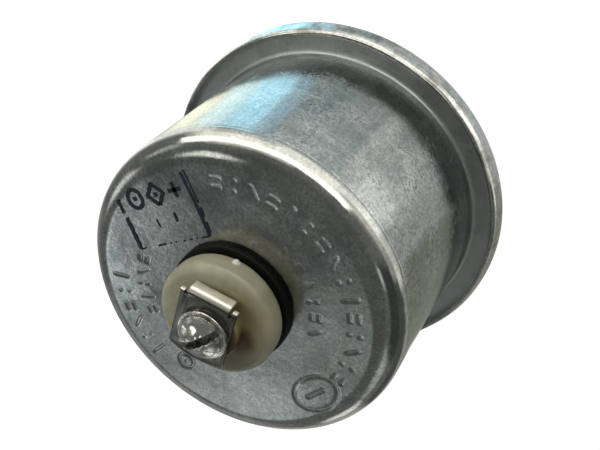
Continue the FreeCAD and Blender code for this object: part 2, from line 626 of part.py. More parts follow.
def terminal_plate():
    """Plate with a rounded end and a lug bent down between two relief notches."""
    top = FACE_Z + PLATE_TOP
    low = top - PLATE_T
    bend_outer = PLATE_T + LUG_BEND_R
    bend_start = LUG_FACE_Y - bend_outer
    width = (-PLATE_HALF_WIDTH, PLATE_HALF_WIDTH)
    flat = cylinder(PLATE_END_R, low, top, 0, PLATE_END_Y + PLATE_END_R)
    flat = flat.common(block(width, (-BIG, PLATE_SHOULDER_Y), (low, top)))
    for side in (-1, 1):
        notch = sorted((side * LUG_HALF_WIDTH, side * (LUG_HALF_WIDTH + NOTCH_WIDTH)))
        flat = flat.cut(block(notch, (PLATE_SHOULDER_Y - NOTCH_DEPTH, BIG), (low - 1, top + 1)))
    lug_x = (-LUG_HALF_WIDTH, LUG_HALF_WIDTH)
    flat = flat.cut(block(lug_x, (bend_start, BIG), (low - 1, top + 1)))
    bend_z = top - bend_outer
    bend = cylinder_x(bend_outer, bend_start, bend_z, *lug_x)
    hollow = cylinder_x(LUG_BEND_R, bend_start, bend_z, *lug_x)
    quarter = block(lug_x, (bend_start, bend_start + BIG), (bend_z, bend_z + BIG))
    bend = bend.cut(hollow).common(quarter)
    lug = block(lug_x, (LUG_FACE_Y - PLATE_T, LUG_FACE_Y), (FACE_Z + LUG_BOTTOM, bend_z))
    plate = fused([flat, bend, lug])
    plate.translate(vec(PLATE_SHIFT_X, 0, 0))
    return plate.cut(cylinder(PLATE_HOLE_R, low - 1, top + 1, PLATE_SHIFT_X))


def screw_washer():
    low = FACE_Z + PLATE_TOP
    return ring(WASHER_R, SCREW_R + 0.2, low, low + WASHER_T)


def terminal_screw():
    """Round-headed M5 screw with a straight slot; the shank is drawn at the thread's major diameter."""
    seat = FACE_Z + PLATE_TOP + WASHER_T
    rise = HEAD_H - HEAD_EDGE
    ball_r = (HEAD_R ** 2 + rise ** 2) / (2 * rise)
    crown_mid_r = 0.55 * HEAD_R
    crown_mid_z = seat + HEAD_H - ball_r + math.sqrt(ball_r ** 2 - crown_mid_r ** 2)
    head = turned([
        (0, seat), (HEAD_R, seat),
        ((HEAD_R, seat + HEAD_EDGE), (crown_mid_r, crown_mid_z), (0, seat + HEAD_H))])
    slot = block((-BIG, BIG), (-SLOT_WIDTH / 2, SLOT_WIDTH / 2), (seat + HEAD_H - SLOT_DEPTH, seat + BIG))
    slot.rotate(ORIGIN, Z_AXIS, SLOT_DEG)
    point = 0.6
    shank_end = seat - SCREW_LENGTH
    shank_root = seat + HEAD_EDGE
    shank = turned([
        (0, shank_end), (SCREW_R - point, shank_end), (SCREW_R, shank_end + point),
        (SCREW_R, shank_root), (0, shank_root)])
    return fused([head.cut(slot), shank])


# ---- all nodes ---------------------------------------------------------------------------
NODES = {
    "hex_fitting": hex_fitting, "restrictor_plug": restrictor_plug, "base_dish": base_dish,
    "crimp_gasket": crimp_gasket, "diaphragm": diaphragm, "support_plate": support_plate,
    "cover_can": cover_can, "pusher": pusher, "mechanism_bracket": mechanism_bracket,
    "bridge_rivets": bridge_rivets, "rocker_lever": rocker_lever, "adjusting_screws": adjusting_screws,
    "lock_nuts": lock_nuts, "wiper_hub": wiper_hub, "wiper_arm": wiper_arm, "wiper_contact": wiper_contact,
    "return_spring": return_spring, "rheostat_former": rheostat_former,
    "resistance_winding": resistance_winding, "rheostat_holder": rheostat_holder,
    "holder_rivets": holder_rivets, "track_rivets": track_rivets, "contact_strip": contact_strip,
    "terminal_bush": terminal_bush, "inner_insulator": inner_insulator, "rubber_washer": rubber_washer,
    "terminal_insulator": terminal_insulator, "terminal_plate": terminal_plate,
    "screw_washer": screw_washer, "terminal_screw": terminal_screw,
}


def main():
    os.makedirs("parts", exist_ok=True)
    shapes = {name: make() for name, make in NODES.items()}
    shapes["rocker_axle"] = axle(ROCKER_PIVOT, ROCKER_AXLE_R)
    shapes["wiper_axle"] = axle(WIPER_PIVOT, WIPER_AXLE_R)
    for name, shape in shapes.items():
        if not shape.isValid():
            raise ValueError(name + " is not a valid shape")
        shape.exportStep("parts/" + name + ".step")
        print(name, len(shape.Solids), "solids,", round(shape.Volume, 1), "mm3")


main()
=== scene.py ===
"""Looks for the oil pressure sender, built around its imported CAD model.

The row frame's +Z runs up the can's axis to the terminal, and the terminal plate's lug points to +Y.
Sizes here are in millimetres, times MM where Blender needs metres. Heights come from the CAD boxes.
"""
import json
from math import asin, atan2, ceil, cos, degrees, hypot, pi, radians, sin, sqrt, tan

import bmesh
import bpy
import numpy as np
from mathutils import Matrix, Vector

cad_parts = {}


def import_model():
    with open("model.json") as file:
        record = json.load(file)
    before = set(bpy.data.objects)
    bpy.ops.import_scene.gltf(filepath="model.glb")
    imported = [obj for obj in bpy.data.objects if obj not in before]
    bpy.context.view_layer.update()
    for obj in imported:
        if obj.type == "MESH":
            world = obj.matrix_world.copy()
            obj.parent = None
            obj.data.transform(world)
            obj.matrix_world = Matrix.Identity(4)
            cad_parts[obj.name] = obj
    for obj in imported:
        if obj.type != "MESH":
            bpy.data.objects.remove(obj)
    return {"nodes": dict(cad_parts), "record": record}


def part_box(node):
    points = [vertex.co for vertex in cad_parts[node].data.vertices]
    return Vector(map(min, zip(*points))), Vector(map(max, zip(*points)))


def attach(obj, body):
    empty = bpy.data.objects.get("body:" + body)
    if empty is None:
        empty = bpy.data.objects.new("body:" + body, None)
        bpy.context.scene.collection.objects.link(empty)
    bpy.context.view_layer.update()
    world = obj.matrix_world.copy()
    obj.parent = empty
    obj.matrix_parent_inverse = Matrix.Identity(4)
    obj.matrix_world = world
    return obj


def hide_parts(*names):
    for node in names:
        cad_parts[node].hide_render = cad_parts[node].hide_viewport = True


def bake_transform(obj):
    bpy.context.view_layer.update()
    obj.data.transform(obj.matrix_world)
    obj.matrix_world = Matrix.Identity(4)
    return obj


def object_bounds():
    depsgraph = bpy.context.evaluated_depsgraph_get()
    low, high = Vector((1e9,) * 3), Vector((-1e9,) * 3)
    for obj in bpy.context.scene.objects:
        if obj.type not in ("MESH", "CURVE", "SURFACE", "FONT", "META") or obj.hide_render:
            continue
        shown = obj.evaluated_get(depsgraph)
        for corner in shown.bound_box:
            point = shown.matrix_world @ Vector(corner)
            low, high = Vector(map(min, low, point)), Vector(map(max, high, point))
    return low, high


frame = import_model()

cad_low, cad_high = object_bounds()
MM = 0.001
TURN = 2 * pi


def top_of(node):
    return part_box(node)[1].z / MM


def foot_of(node):
    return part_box(node)[0].z / MM


def reach_of(node):
    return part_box(node)[1].x / MM


# ---- sizes read from the CAD model, and the few that its boxes can't give ----
FLOOR_Z = cad_low.z / MM
FACE_Z = top_of("cover_can")
FLANGE_R = reach_of("cover_can")
CAN_T = 0.8
WALL_R = 30.0
FLANGE_Z = foot_of("cover_can") + CAN_T
CORNER_R = 4.5
FOOT_R = 1.1
FACE_HOLE_R = 5.5
TOOL_LINE_Z = FACE_Z - CORNER_R - 0.6
RIM_R = reach_of("base_dish")
RIM_TOP = top_of("base_dish")
RIM_INNER_R = 34.3
DISH_T = 1.0
RIM_CORNER = 1.8
SHOULDER_H = 3.6
SHOULDER_W = 1.0
SPIGOT_R = 7.6
PAN_R = 17.0
PAN_Z = foot_of("base_dish")
LEDGE_Z = foot_of("crimp_gasket")
RUBBER_R = reach_of("rubber_washer")
RUBBER_TOP = top_of("rubber_washer")
INSULATOR_R = reach_of("terminal_insulator")
BOSS_TOP = top_of("terminal_insulator")
BOSS_R = 5.6
SHOULDER_Z = BOSS_TOP - 2.1
BUSH_R = 3.8
PLATE_TOP = top_of("terminal_plate")
PLATE_BOTTOM = BOSS_TOP
LUG_BOTTOM = foot_of("terminal_plate")
WASHER_TOP = top_of("screw_washer")
WASHER_R = reach_of("screw_washer")
HEAD_TOP = top_of("terminal_screw")
HEAD_R = reach_of("terminal_screw")


# ---- mesh helpers ----
SMALL_FILLET = 0.2      # corners no rounder than this get few cuts
SMALL_FILLET_CUTS = 3


def rounded(corners, steps=6):
    """An outline of (radius, height) points from (radius, height, corner radius) corners of a loop."""
    outline = []
    count = len(corners)
    for i, (r, z, fillet) in enumerate(corners):
        here = Vector((r, z))
        if fillet == 0:
            outline.append((r, z))
            continue
        back = (Vector(corners[i - 1][:2]) - here).normalized()
        on = (Vector(corners[(i + 1) % count][:2]) - here).normalized()
        half = 0.5 * back.angle(on)
        middle = here + (back + on).normalized() * (fillet / sin(half))
        start = here + back * (fillet / tan(half)) - middle
        sweep = pi - 2 * half
        side = 1 if start.x * (here - middle).y - start.y * (here - middle).x > 0 else -1
        cuts = steps if fillet > SMALL_FILLET else SMALL_FILLET_CUTS
        for k in range(cuts + 1):
            a = side * sweep * k / cuts
            point = middle + Matrix.Rotation(a, 2) @ start
            outline.append((point.x, point.y))
    return outline


def divided(outline, step_at):
    """The same loop with its long runs cut up; step_at(radius, height) says how finely."""
    result = []
    for i, (r0, z0) in enumerate(outline):
        r1, z1 = outline[(i + 1) % len(outline)]
        length = hypot(r1 - r0, z1 - z0)
        parts = max(1, ceil(length / step_at(0.5 * (r0 + r1), 0.5 * (z0 + z1))))
        for k in range(parts):
            result.append((r0 + (r1 - r0) * k / parts, z0 + (z1 - z0) * k / parts))
    return result


def turned(outline, segments, warp=None):
    """Vertices (mm) and faces of a ring-shaped solid; warp(r, z, angle) moves its points."""
    r, angle = np.meshgrid([p[0] for p in outline], np.arange(segments) * TURN / segments, indexing="ij")
    z = np.meshgrid([p[1] for p in outline], np.arange(segments), indexing="ij")[0]
    if warp:
        r, z = warp(r, z, angle)
    vertices = np.stack([r * np.cos(angle), r * np.sin(angle), z], axis=-1).reshape(-1, 3)
    rings = len(outline)
    i, k = np.meshgrid(np.arange(rings), np.arange(segments), indexing="ij")
    i2 = (i + 1) % rings
    k2 = (k + 1) % segments
    faces = np.stack([i * segments + k, i2 * segments + k, i2 * segments + k2, i * segments + k2], axis=-1)
    return vertices, faces.reshape(-1, 4).tolist()


def round_point(radius, a):
    """Point at a radius and an angle in radians."""
    return radius * cos(a), radius * sin(a)


def linked(name, data):
    """A new object in the scene."""
    obj = bpy.data.objects.new(name, data)
    bpy.context.scene.collection.objects.link(obj)
    return obj


def change_mesh(mesh, change):
    """Run change(bm), an edit of its bmesh, on a mesh."""
    bm = bmesh.new()
    bm.from_mesh(mesh)
    change(bm)
    bm.to_mesh(mesh)
    bm.free()


def piece(name, vertices, faces, sharp_deg=40):
    """A smooth-shaded mesh object from millimetre points, with its normals turned outward."""
    mesh = bpy.data.meshes.new(name)
    mesh.from_pydata((np.asarray(vertices, float) * MM).tolist(), [], faces)
    change_mesh(mesh, lambda bm: bmesh.ops.recalc_face_normals(bm, faces=bm.faces))
    mesh.shade_smooth()
    mesh.set_sharp_from_angle(angle=radians(sharp_deg))
    return linked(name, mesh)


def place(obj, material, body, slot, *nodes):
    """Finish a piece: its material, the CAD body it rides on and the nodes it stands for; its slot is not
    used.
    """
    obj.data.materials.clear()
    obj.data.materials.append(material)
    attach(obj, body)
    if nodes:
        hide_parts(*nodes)
    return obj


def poly_curve(name, dimensions, bevel, loops, closed):
    """Straight-sided curves through loops of millimetre points, with a rounded bevel."""
    curve = bpy.data.curves.new(name, "CURVE")
    curve.dimensions = dimensions
    curve.bevel_depth = bevel * MM
    curve.bevel_resolution = 2
    for loop in loops:
        spline = curve.splines.new("POLY")
        spline.points.add(len(loop) - 1)
        spline.use_cyclic_u = closed
        for point, (x, y, z) in zip(spline.points, loop):
            point.co = (x * MM, y * MM, z * MM, 1)
    return curve


def as_mesh_object(name, curve):
    """A mesh object with the shape of a curve."""
    shape = linked(name, curve)
    mesh = bpy.data.meshes.new_from_object(shape.evaluated_get(bpy.context.evaluated_depsgraph_get()))
    bpy.data.objects.remove(shape)
    mesh.shade_smooth()
    return linked(name, mesh)


def ripple(x, y, z, wavelength, seed):
    """Smooth wandering values, about -1 to 1, from a few sine waves in fixed random directions."""
    rng = np.random.default_rng(seed)
    total = 0.0
    for _ in range(6):
        way = rng.normal(size=3)
        way *= TURN / wavelength * rng.uniform(0.6, 1.5) / np.linalg.norm(way)
        total = total + np.sin(way[0] * x + way[1] * y + way[2] * z + rng.uniform(0, TURN))
    return total / 3.0


def ripple_round(r, z, angle, wavelength, seed):
    return ripple(r * np.cos(angle), r * np.sin(angle), z, wavelength, seed)


# ---- marks pressed into the can's face ----
OUTER_ARC = (22.4, 112.0, -12.0, 15)    # radius, first and last angle, number of marks
INNER_ARC = (15.4, 66.0, 8.0, 6)
LEFT_ARC = (22.8, 199.0, 240.0, 6)
LEFT_INNER_ARC = (18.0, 184.0, 218.0, 5)
OVAL = ((19.2, -10.2), 4.7, 3.3, 60.0)  # centre, half axes and tilt of the plain oval
SMALL_RING = ((-5.5, -19.0), 1.5)
MARK_HALF = 1.35
GROOVE_HALF_WIDTH = 0.42
GROOVE_DEPTH = 0.16
BAR, PAIR, SLANT, DOTS = range(4)
MARK_ORDER = (PAIR, DOTS, SLANT, PAIR, BAR, DOTS, PAIR, SLANT, DOTS, BAR, PAIR, DOTS, SLANT, DOTS, PAIR)


def mark_strokes(kind, half):
    """Segments of one plain mark about its middle, with x along the arc."""
    if kind == BAR:
        return [((0, -half), (0, half))]
    if kind == PAIR:
        return [((-0.5 * half, y), (0.5 * half, y)) for y in (0.6 * half, -0.6 * half)]
    if kind == SLANT:
        return [((-0.5 * half, -0.7 * half), (0.5 * half, 0.7 * half))]
    return [((0, 0.7 * half), (0, 0.75 * half)), ((0, -0.75 * half), (0, -0.7 * half))]


def face_strokes():
    """Every straight stroke on the face, as pairs of (x, y) ends."""
    strokes = []
    for shift, (radius, first, last, count) in enumerate((OUTER_ARC, INNER_ARC, LEFT_ARC, LEFT_INNER_ARC)):
        half = MARK_HALF if radius > 20 else 0.8 * MARK_HALF
        for i in range(count):
            a = radians(first + (last - first) * i / (count - 1))
            outward = Vector(round_point(1, a))
            along = Vector((-outward.y, outward.x))
            middle = outward * radius
            for start, end in mark_strokes(MARK_ORDER[(i + 2 * shift) % len(MARK_ORDER)], half):
                strokes.append((middle + along * start[0] + outward * start[1],
                                middle + along * end[0] + outward * end[1]))
    centre = Vector(OVAL[0])
    half_bar = Vector(round_point(1, radians(OVAL[3]))) * 2.0
    strokes.append((centre - half_bar, centre + half_bar))
    return strokes


def groove(distance):
    """Round-bottomed groove: depth at a distance from a stroke's middle line."""
    share = np.clip(np.abs(distance) / GROOVE_HALF_WIDTH, 0, 1)
    return 0.5 * GROOVE_DEPTH * (1 + np.cos(pi * share))


def face_relief(x, y):
    """Depth of the pressed marks at points of the face."""
    depth = np.zeros_like(x)
    for start, end in face_strokes():
        along = end - start
        t = ((x - start.x) * along.x + (y - start.y) * along.y) / max(along.length_squared, 1e-9)
        t = np.clip(t, 0, 1)
        distance = np.hypot(x - start.x - t * along.x, y - start.y - t * along.y)
        depth = np.maximum(depth, groove(distance))
    (cx, cy), long_half, short_half, tilt_deg = OVAL
    tilt = radians(tilt_deg)
    u = (x - cx) * cos(tilt) + (y - cy) * sin(tilt)
    v = -(x - cx) * sin(tilt) + (y - cy) * cos(tilt)
    oval = np.hypot(u / long_half, v / short_half)
    depth = np.maximum(depth, groove((oval - 1) * 0.5 * (long_half + short_half)))
    (sx, sy), ring_r = SMALL_RING
    ring = np.hypot(x - sx, y - sy)
    depth = np.maximum(depth, groove(ring - ring_r))
    return np.maximum(depth, groove(ring))


# ---- shells of the can and base ----
SHEET_WAVE = 0.05       # height of the slight waves in the drawn sheet
MARK_STEP = 0.29        # rings on the marked part of the face
TOOL_LINE_STEP = 0.1
PLAIN_STEP = 2.4
PAN_SLOPE = 4.0         # how far the pan's side leans outward
SIDE_INSET = 0.4        # sideways offset of the sheet's inner face on that slope


def can_shell():
    """Drawn can with its flange, pressed marks in the face and slight waves in the sheet."""
    edge = 0.12
    corners = [
        (FACE_HOLE_R, FACE_Z, edge), (WALL_R, FACE_Z, CORNER_R), (WALL_R, TOOL_LINE_Z + 0.4, 0),
        (WALL_R, TOOL_LINE_Z - 0.4, 0), (WALL_R, FLANGE_Z, FOOT_R),
        (FLANGE_R, FLANGE_Z, edge), (FLANGE_R, FLANGE_Z - CAN_T, edge),
        (WALL_R - CAN_T, FLANGE_Z - CAN_T, FOOT_R + CAN_T),
        (WALL_R - CAN_T, FACE_Z - CAN_T, CORNER_R - CAN_T), (FACE_HOLE_R, FACE_Z - CAN_T, edge)]
    marked_from = RUBBER_R + 1.5
    marked_to = WALL_R - CORNER_R

    def step_at(r, z):
        if z > FACE_Z - 0.01 and marked_from < r < marked_to:
            return MARK_STEP
        return TOOL_LINE_STEP if abs(z - TOOL_LINE_Z) < 0.3 and r > WALL_R - 0.1 else PLAIN_STEP

    def warp(r, z, angle):
        x = r * np.cos(angle)
        y = r * np.sin(angle)
        on_face = z > FACE_Z - 0.01
        z = z - np.where(on_face, face_relief(x, y), 0)
        middle = np.clip((r - RUBBER_R) / 6, 0, 1) * np.clip((WALL_R - 2 - r) / 6, 0, 1)
        z = z + SHEET_WAVE * middle * ripple(x, y, z, 24, 3)
        wall = np.clip((z - FLANGE_Z - 2) / 6, 0, 1) * np.clip((FACE_Z - z) / 5, 0, 1) * (r > WALL_R - 2)
        r = r + SHEET_WAVE * wall * ripple_round(r, 0.4 * z, angle, 22, 5)
        r = r - 0.03 * (r > WALL_R - 0.5) * np.exp(-((z - TOOL_LINE_Z) / 0.16) ** 2)
        return r, z

    outline = divided(rounded(corners, 8), step_at)
    return piece("can_shell", *turned(outline, 560, warp), sharp_deg=60)


def base_shell():
    """Pressed dish whose edge is rolled up and over the can's flange."""
    lip = 0.5 * (RIM_R - RIM_INNER_R)
    side_r = PAN_R + PAN_SLOPE
    under = LEDGE_Z - DISH_T
    steps = 14
    shoulder = [(RIM_R - SHOULDER_W * (1 - cos(a)), RIM_TOP - SHOULDER_H * (1 - sin(a)), 0)
                for a in (0.25 * TURN * i / steps for i in range(steps + 1))]
    corners = [
        (SPIGOT_R, PAN_Z, 0.1), (PAN_R, PAN_Z, 2.0), (side_r, under, 1.5), (RIM_R, under, RIM_CORNER),
        *shoulder, (RIM_INNER_R, RIM_TOP, 0.4 * lip), (RIM_INNER_R, FLANGE_Z + 0.02, 0),
        (FLANGE_R + 0.03, FLANGE_Z + 0.02, 0), (FLANGE_R + 0.03, LEDGE_Z, 0),
        (side_r - SIDE_INSET, LEDGE_Z, 1.0), (PAN_R - SIDE_INSET, PAN_Z + DISH_T, 1.0),
        (SPIGOT_R, PAN_Z + DISH_T, 0.1)]

    def warp(r, z, angle):
        lip_share = np.clip((z - FLANGE_Z) / 1.2, 0, 1) * (r > RIM_INNER_R - 0.5)
        skirt = (r > FLANGE_R + 0.1) * np.clip((z - LEDGE_Z) / 2, 0, 1)
        z = z + 0.09 * lip_share * (ripple_round(35.0, 0, angle, 17, 11) - 0.6)
        r = r + 0.07 * skirt * (ripple_round(35.0, z * 0.5, angle, 12, 12) - 0.8)
        return r, z

    outline = divided(rounded(corners, 8), lambda r, z: 0.9 if r > FLANGE_R else 2.5)
    return piece("base_shell", *turned(outline, 480, warp), sharp_deg=50)


# ---- threaded fitting ----
HEX_ACROSS_FLATS = 22.0
HEX_TOP = 7.0
HEX_BEVEL = 1.4
THREAD_R = 7.0
THREAD_PITCH = 1.5
THREAD_DEPTH = 0.92
PASSAGE_R = 1.5
PLUG_R = 3.0
PLUG_TOP = top_of("restrictor_plug")


def thread_radius(z, angle, pitch, major, depth):
    """Right-handed thread with flat crests and roots."""
    share = (z / pitch - angle / TURN) % 1.0
    rise = 1 - np.abs(2 * share - 1)
    return major - depth + depth * np.clip((rise - 0.125) / 0.75, 0, 1)


def threaded_fitting():
    """Hexagon with bevelled corners over the threaded stub, with the passage through both."""
    corner_r = HEX_ACROSS_FLATS / sqrt(3)
    spigot_top = top_of("hex_fitting")
    corners = [
        (PLUG_R, FLOOR_Z, 0), (THREAD_R - 1, FLOOR_Z, 0), (THREAD_R, FLOOR_Z + 1, 0), (THREAD_R, 0, 0),
        (corner_r, 0, 0), (corner_r, HEX_TOP, 0), (SPIGOT_R, HEX_TOP, 0), (SPIGOT_R, PAN_Z + DISH_T, 0),
        (SPIGOT_R + 0.7, PAN_Z + DISH_T, 0.05), (SPIGOT_R + 0.3, spigot_top, 0.25),
        (PASSAGE_R, spigot_top, 0.2), (PASSAGE_R, PLUG_TOP, 0), (PLUG_R, PLUG_TOP, 0)]

    def step_at(r, z):
        if abs(r - corner_r) < 0.01:
            return 0.12 if min(z, HEX_TOP - z) < HEX_BEVEL else 1.0
        if abs(r - THREAD_R) < 0.6 and z < 0:
            return THREAD_PITCH / 14
        return 1.2

    def warp(r, z, angle):
        near = (angle + TURN / 12) % (TURN / 6) - TURN / 12
        flats = 0.5 * HEX_ACROSS_FLATS / np.cos(near)
        cone = corner_r - HEX_BEVEL + 1.8 * np.minimum(z, HEX_TOP - z)
        across = (r - SPIGOT_R) / (corner_r - SPIGOT_R)
        on_hex = (z >= 0) & (z <= HEX_TOP) & (r > SPIGOT_R + 0.01)
        hexed = SPIGOT_R + across * (np.minimum(flats, cone) - SPIGOT_R)
        on_thread = (z < 0) & (r > PLUG_R + 0.5)
        fade = np.clip((z - FLOOR_Z) / 1.2, 0, 1) * np.clip((-0.9 - z) / 1.0, 0, 1)
        threaded = thread_radius(z, angle, THREAD_PITCH, THREAD_R, THREAD_DEPTH)
        neck = np.minimum(r, THREAD_R - THREAD_DEPTH)
        threaded = neck + fade * (np.minimum(threaded, r) - neck)
        return np.where(on_hex, hexed, np.where(on_thread, threaded, r)), z

    outline = divided(rounded(corners), step_at)
    return piece("threaded_fitting", *turned(outline, 240, warp), sharp_deg=28)


# ---- terminal ----
PIP_DEG = 91.0
PIP_HEIGHT = 1.9        # above the rubber


def insulator():
    """Moulded disc on its rubber seal, with the boss that carries the plate and a moulding pip."""
    corners = [
        (BUSH_R, FACE_Z - CAN_T, 0), (FACE_HOLE_R, FACE_Z - CAN_T, 0), (FACE_HOLE_R, RUBBER_TOP, 0),
        (INSULATOR_R, RUBBER_TOP, 2.0), (INSULATOR_R, SHOULDER_Z, 1.7), (BOSS_R, SHOULDER_Z, 0.5),
        (BOSS_R, BOSS_TOP, 0.25), (BUSH_R, BOSS_TOP, 0.1)]

    def warp(r, z, angle):
        outside = r > FACE_HOLE_R + 0.3
        z = z + 0.05 * outside * (z > RUBBER_TOP + 1) * ripple_round(r, z, angle, 9, 21)
        z = z - 0.07 * (z > SHOULDER_Z - 0.3) * (r > BOSS_R + 0.6) * np.clip((7.9 - r) / 0.25, 0, 1)
        bulge = 0.12 * np.sin(pi * np.clip((z - RUBBER_TOP) / (SHOULDER_Z - RUBBER_TOP), 0, 1))
        r = r + outside * (r > BOSS_R + 1) * (bulge - 0.12)
        aside = (angle - radians(PIP_DEG)) * INSULATOR_R / 0.55
        away = np.hypot(aside, (z - RUBBER_TOP - PIP_HEIGHT) / 0.5)
        r = r + (r > INSULATOR_R - 1.2) * 0.55 * np.exp(-away ** 4)
        return r, z

    outline = divided(rounded(corners, 8), lambda r, z: 0.25 if r > INSULATOR_R - 1 else 0.7)
    return piece("insulator_disc", *turned(outline, 320, warp))


def rubber_seal():
    """Soft ring with a fine moulding line round its edge."""
    line_z = 0.5 * (FACE_Z + RUBBER_TOP) - 0.05
    corners = [
        (FACE_HOLE_R, FACE_Z + 0.01, 0), (RUBBER_R, FACE_Z + 0.01, 0.12), (RUBBER_R, line_z - 0.07, 0.03),
        (RUBBER_R - 0.12, line_z, 0.02), (RUBBER_R, line_z + 0.07, 0.03), (RUBBER_R, RUBBER_TOP, 0.32),
        (FACE_HOLE_R, RUBBER_TOP, 0)]

    def warp(r, z, angle):
        return r + (r > RUBBER_R - 1) * 0.05 * (ripple_round(r, z, angle, 8, 31) - 0.8), z

    return piece("rubber_seal", *turned(divided(rounded(corners, 5), lambda r, z: 1.0), 256, warp))


plate_low, plate_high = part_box("terminal_plate")
PLATE_T = PLATE_TOP - PLATE_BOTTOM
PLATE_HALF_WIDTH = 5.1
PLATE_SHIFT_X = 0.5 * (plate_low.x + plate_high.x) / MM
PLATE_END_R = 12.8
PLATE_END_Y = plate_low.y / MM
PLATE_HOLE_R = 3.15
SHOULDER_Y = 6.7
NOTCH_INNER_X = 3.8
NOTCH_OUTER_X = 4.3
NOTCH_Y = 5.6
LUG_FACE_Y = plate_high.y / MM
PLATE_EDGE = 0.12
BEND_R = 0.15
BEND_Y = LUG_FACE_Y - PLATE_T - BEND_R


def plate_outline():
    """Flat outline before bending: round end at -Y, straight sides, two ears and the lug's strip."""
    points = []
    end_deg = degrees(asin((PLATE_HALF_WIDTH - 0.3) / PLATE_END_R))
    for i in range(17):
        a = radians(-end_deg + 2 * end_deg * i / 16)
        points.append((PLATE_END_R * sin(a), PLATE_END_Y + PLATE_END_R * (1 - cos(a))))
    corner_y = points[-1][1]
    lug_length = 0.5 * pi * (BEND_R + 0.5 * PLATE_T) + PLATE_BOTTOM - BEND_R - LUG_BOTTOM
    right = [(PLATE_HALF_WIDTH, corner_y + 0.35), (PLATE_HALF_WIDTH, SHOULDER_Y),
             (NOTCH_OUTER_X, SHOULDER_Y), (NOTCH_OUTER_X, NOTCH_Y),
             (NOTCH_INNER_X, NOTCH_Y - 0.1), (NOTCH_INNER_X, BEND_Y + lug_length)]
    return points + right + [(-x, y) for x, y in reversed(right)]


def flat_plate(name, outline, hole_r, low, high):
    """A sheet with rounded edges from a flat outline with a round hole."""
    hole = [round_point(hole_r, TURN * i / 48) for i in range(48)]
    loops = [[(x, y, 0) for x, y in loop] for loop in (outline, hole)]
    curve = poly_curve(name, "2D", PLATE_EDGE, loops, True)
    curve.fill_mode = "BOTH"
    curve.extrude = (0.5 * (high - low) - PLATE_EDGE) * MM
    curve.offset = -PLATE_EDGE * MM
    obj = as_mesh_object(name, curve)
    obj.data.transform(Matrix.Translation((0, 0, 0.5 * (low + high) * MM)))

    def close(bm):
        bmesh.ops.remove_doubles(bm, verts=bm.verts, dist=0.01 * MM)
        bmesh.ops.recalc_face_normals(bm, faces=bm.faces)

    change_mesh(obj.data, close)
    return obj


def cut_across(obj, places):
    """Divide a mesh where it crosses planes at the given Y places, so that it can be bent there."""
    def cut(bm):
        for y in places:
            parts = bm.verts[:] + bm.edges[:] + bm.faces[:]
            bmesh.ops.bisect_plane(bm, geom=parts, plane_co=(0, y * MM, 0), plane_no=(0, 1, 0), dist=1e-8)

    change_mesh(obj.data, cut)


def terminal_plate():
    """Plate whose strip turns down through a quarter circle, with its ears bent a little by the press."""
    plate = flat_plate("contact_plate", plate_outline(), PLATE_HOLE_R, PLATE_BOTTOM, PLATE_TOP)
    middle_r = BEND_R + 0.5 * PLATE_T
    arc = 0.5 * pi * middle_r
    cut_across(plate, [BEND_Y + arc * i / 12 for i in range(13)] + [NOTCH_Y, NOTCH_Y + 0.4, NOTCH_Y + 0.8])
    for v in plate.data.vertices:
        x, y, z = v.co / MM
        past = y - BEND_Y
        from_middle = z - 0.5 * (PLATE_TOP + PLATE_BOTTOM)
        if abs(x) < NOTCH_INNER_X + 0.05 and past > 0:
            a = min(past / middle_r, 0.5 * pi)
            straight = max(past - arc, 0)
            radius = middle_r + from_middle
            v.co.y = (BEND_Y + radius * sin(a)) * MM
            v.co.z = (PLATE_BOTTOM - BEND_R + radius * cos(a) - straight) * MM
        elif abs(x) > NOTCH_OUTER_X - 0.2 and y > NOTCH_Y:
            lift = 0.30 if x < 0 else -0.22
            v.co.z += lift * (y - NOTCH_Y) ** 2 * MM
    plate.data.transform(Matrix.Translation((PLATE_SHIFT_X * MM, 0, 0)))
    plate.data.shade_smooth()
    plate.data.set_sharp_from_angle(angle=radians(35))
    return plate


def flat_washer():
    """Washer with its edges rounded in the press and a slight wave on top."""
    hole_r = 2.7
    bottom = PLATE_TOP + 0.01
    corners = [(hole_r, bottom, 0.1), (WASHER_R, bottom, 0.15), (WASHER_R, WASHER_TOP, 0.3),
               (hole_r, WASHER_TOP, 0.12)]

    def warp(r, z, angle):
        return r, z - 0.03 * (r > 3) * (1 + ripple_round(r, z, angle, 5, 41))

    return piece("flat_washer", *turned(divided(rounded(corners, 5), lambda r, z: 0.4), 160, warp))


SLOT_DEG = 46.5
SLOT_HALF = 0.65
SLOT_DEPTH = 1.4
HEAD_EDGE = 0.5
SHANK_R = 2.5
SHANK_END = foot_of("terminal_screw")
SCREW_PITCH = 0.8
SCREW_DEPTH = 0.49
HEAD_COLUMNS = 65


def slot_lines():
    """Distances across the head at which its surface is drawn, close together at the slot's edges."""
    lines = [HEAD_R * sin(radians(-90 + 180 * i / 72)) for i in range(1, 72)]
    lines = [v for v in lines if abs(abs(v) - SLOT_HALF) > 0.16]
    for side in (-1, 1):
        lines += [side * (SLOT_HALF + d) for d in (-0.04, -0.015, 0.0, 0.05, 0.1, 0.15)]
    return sorted(lines)


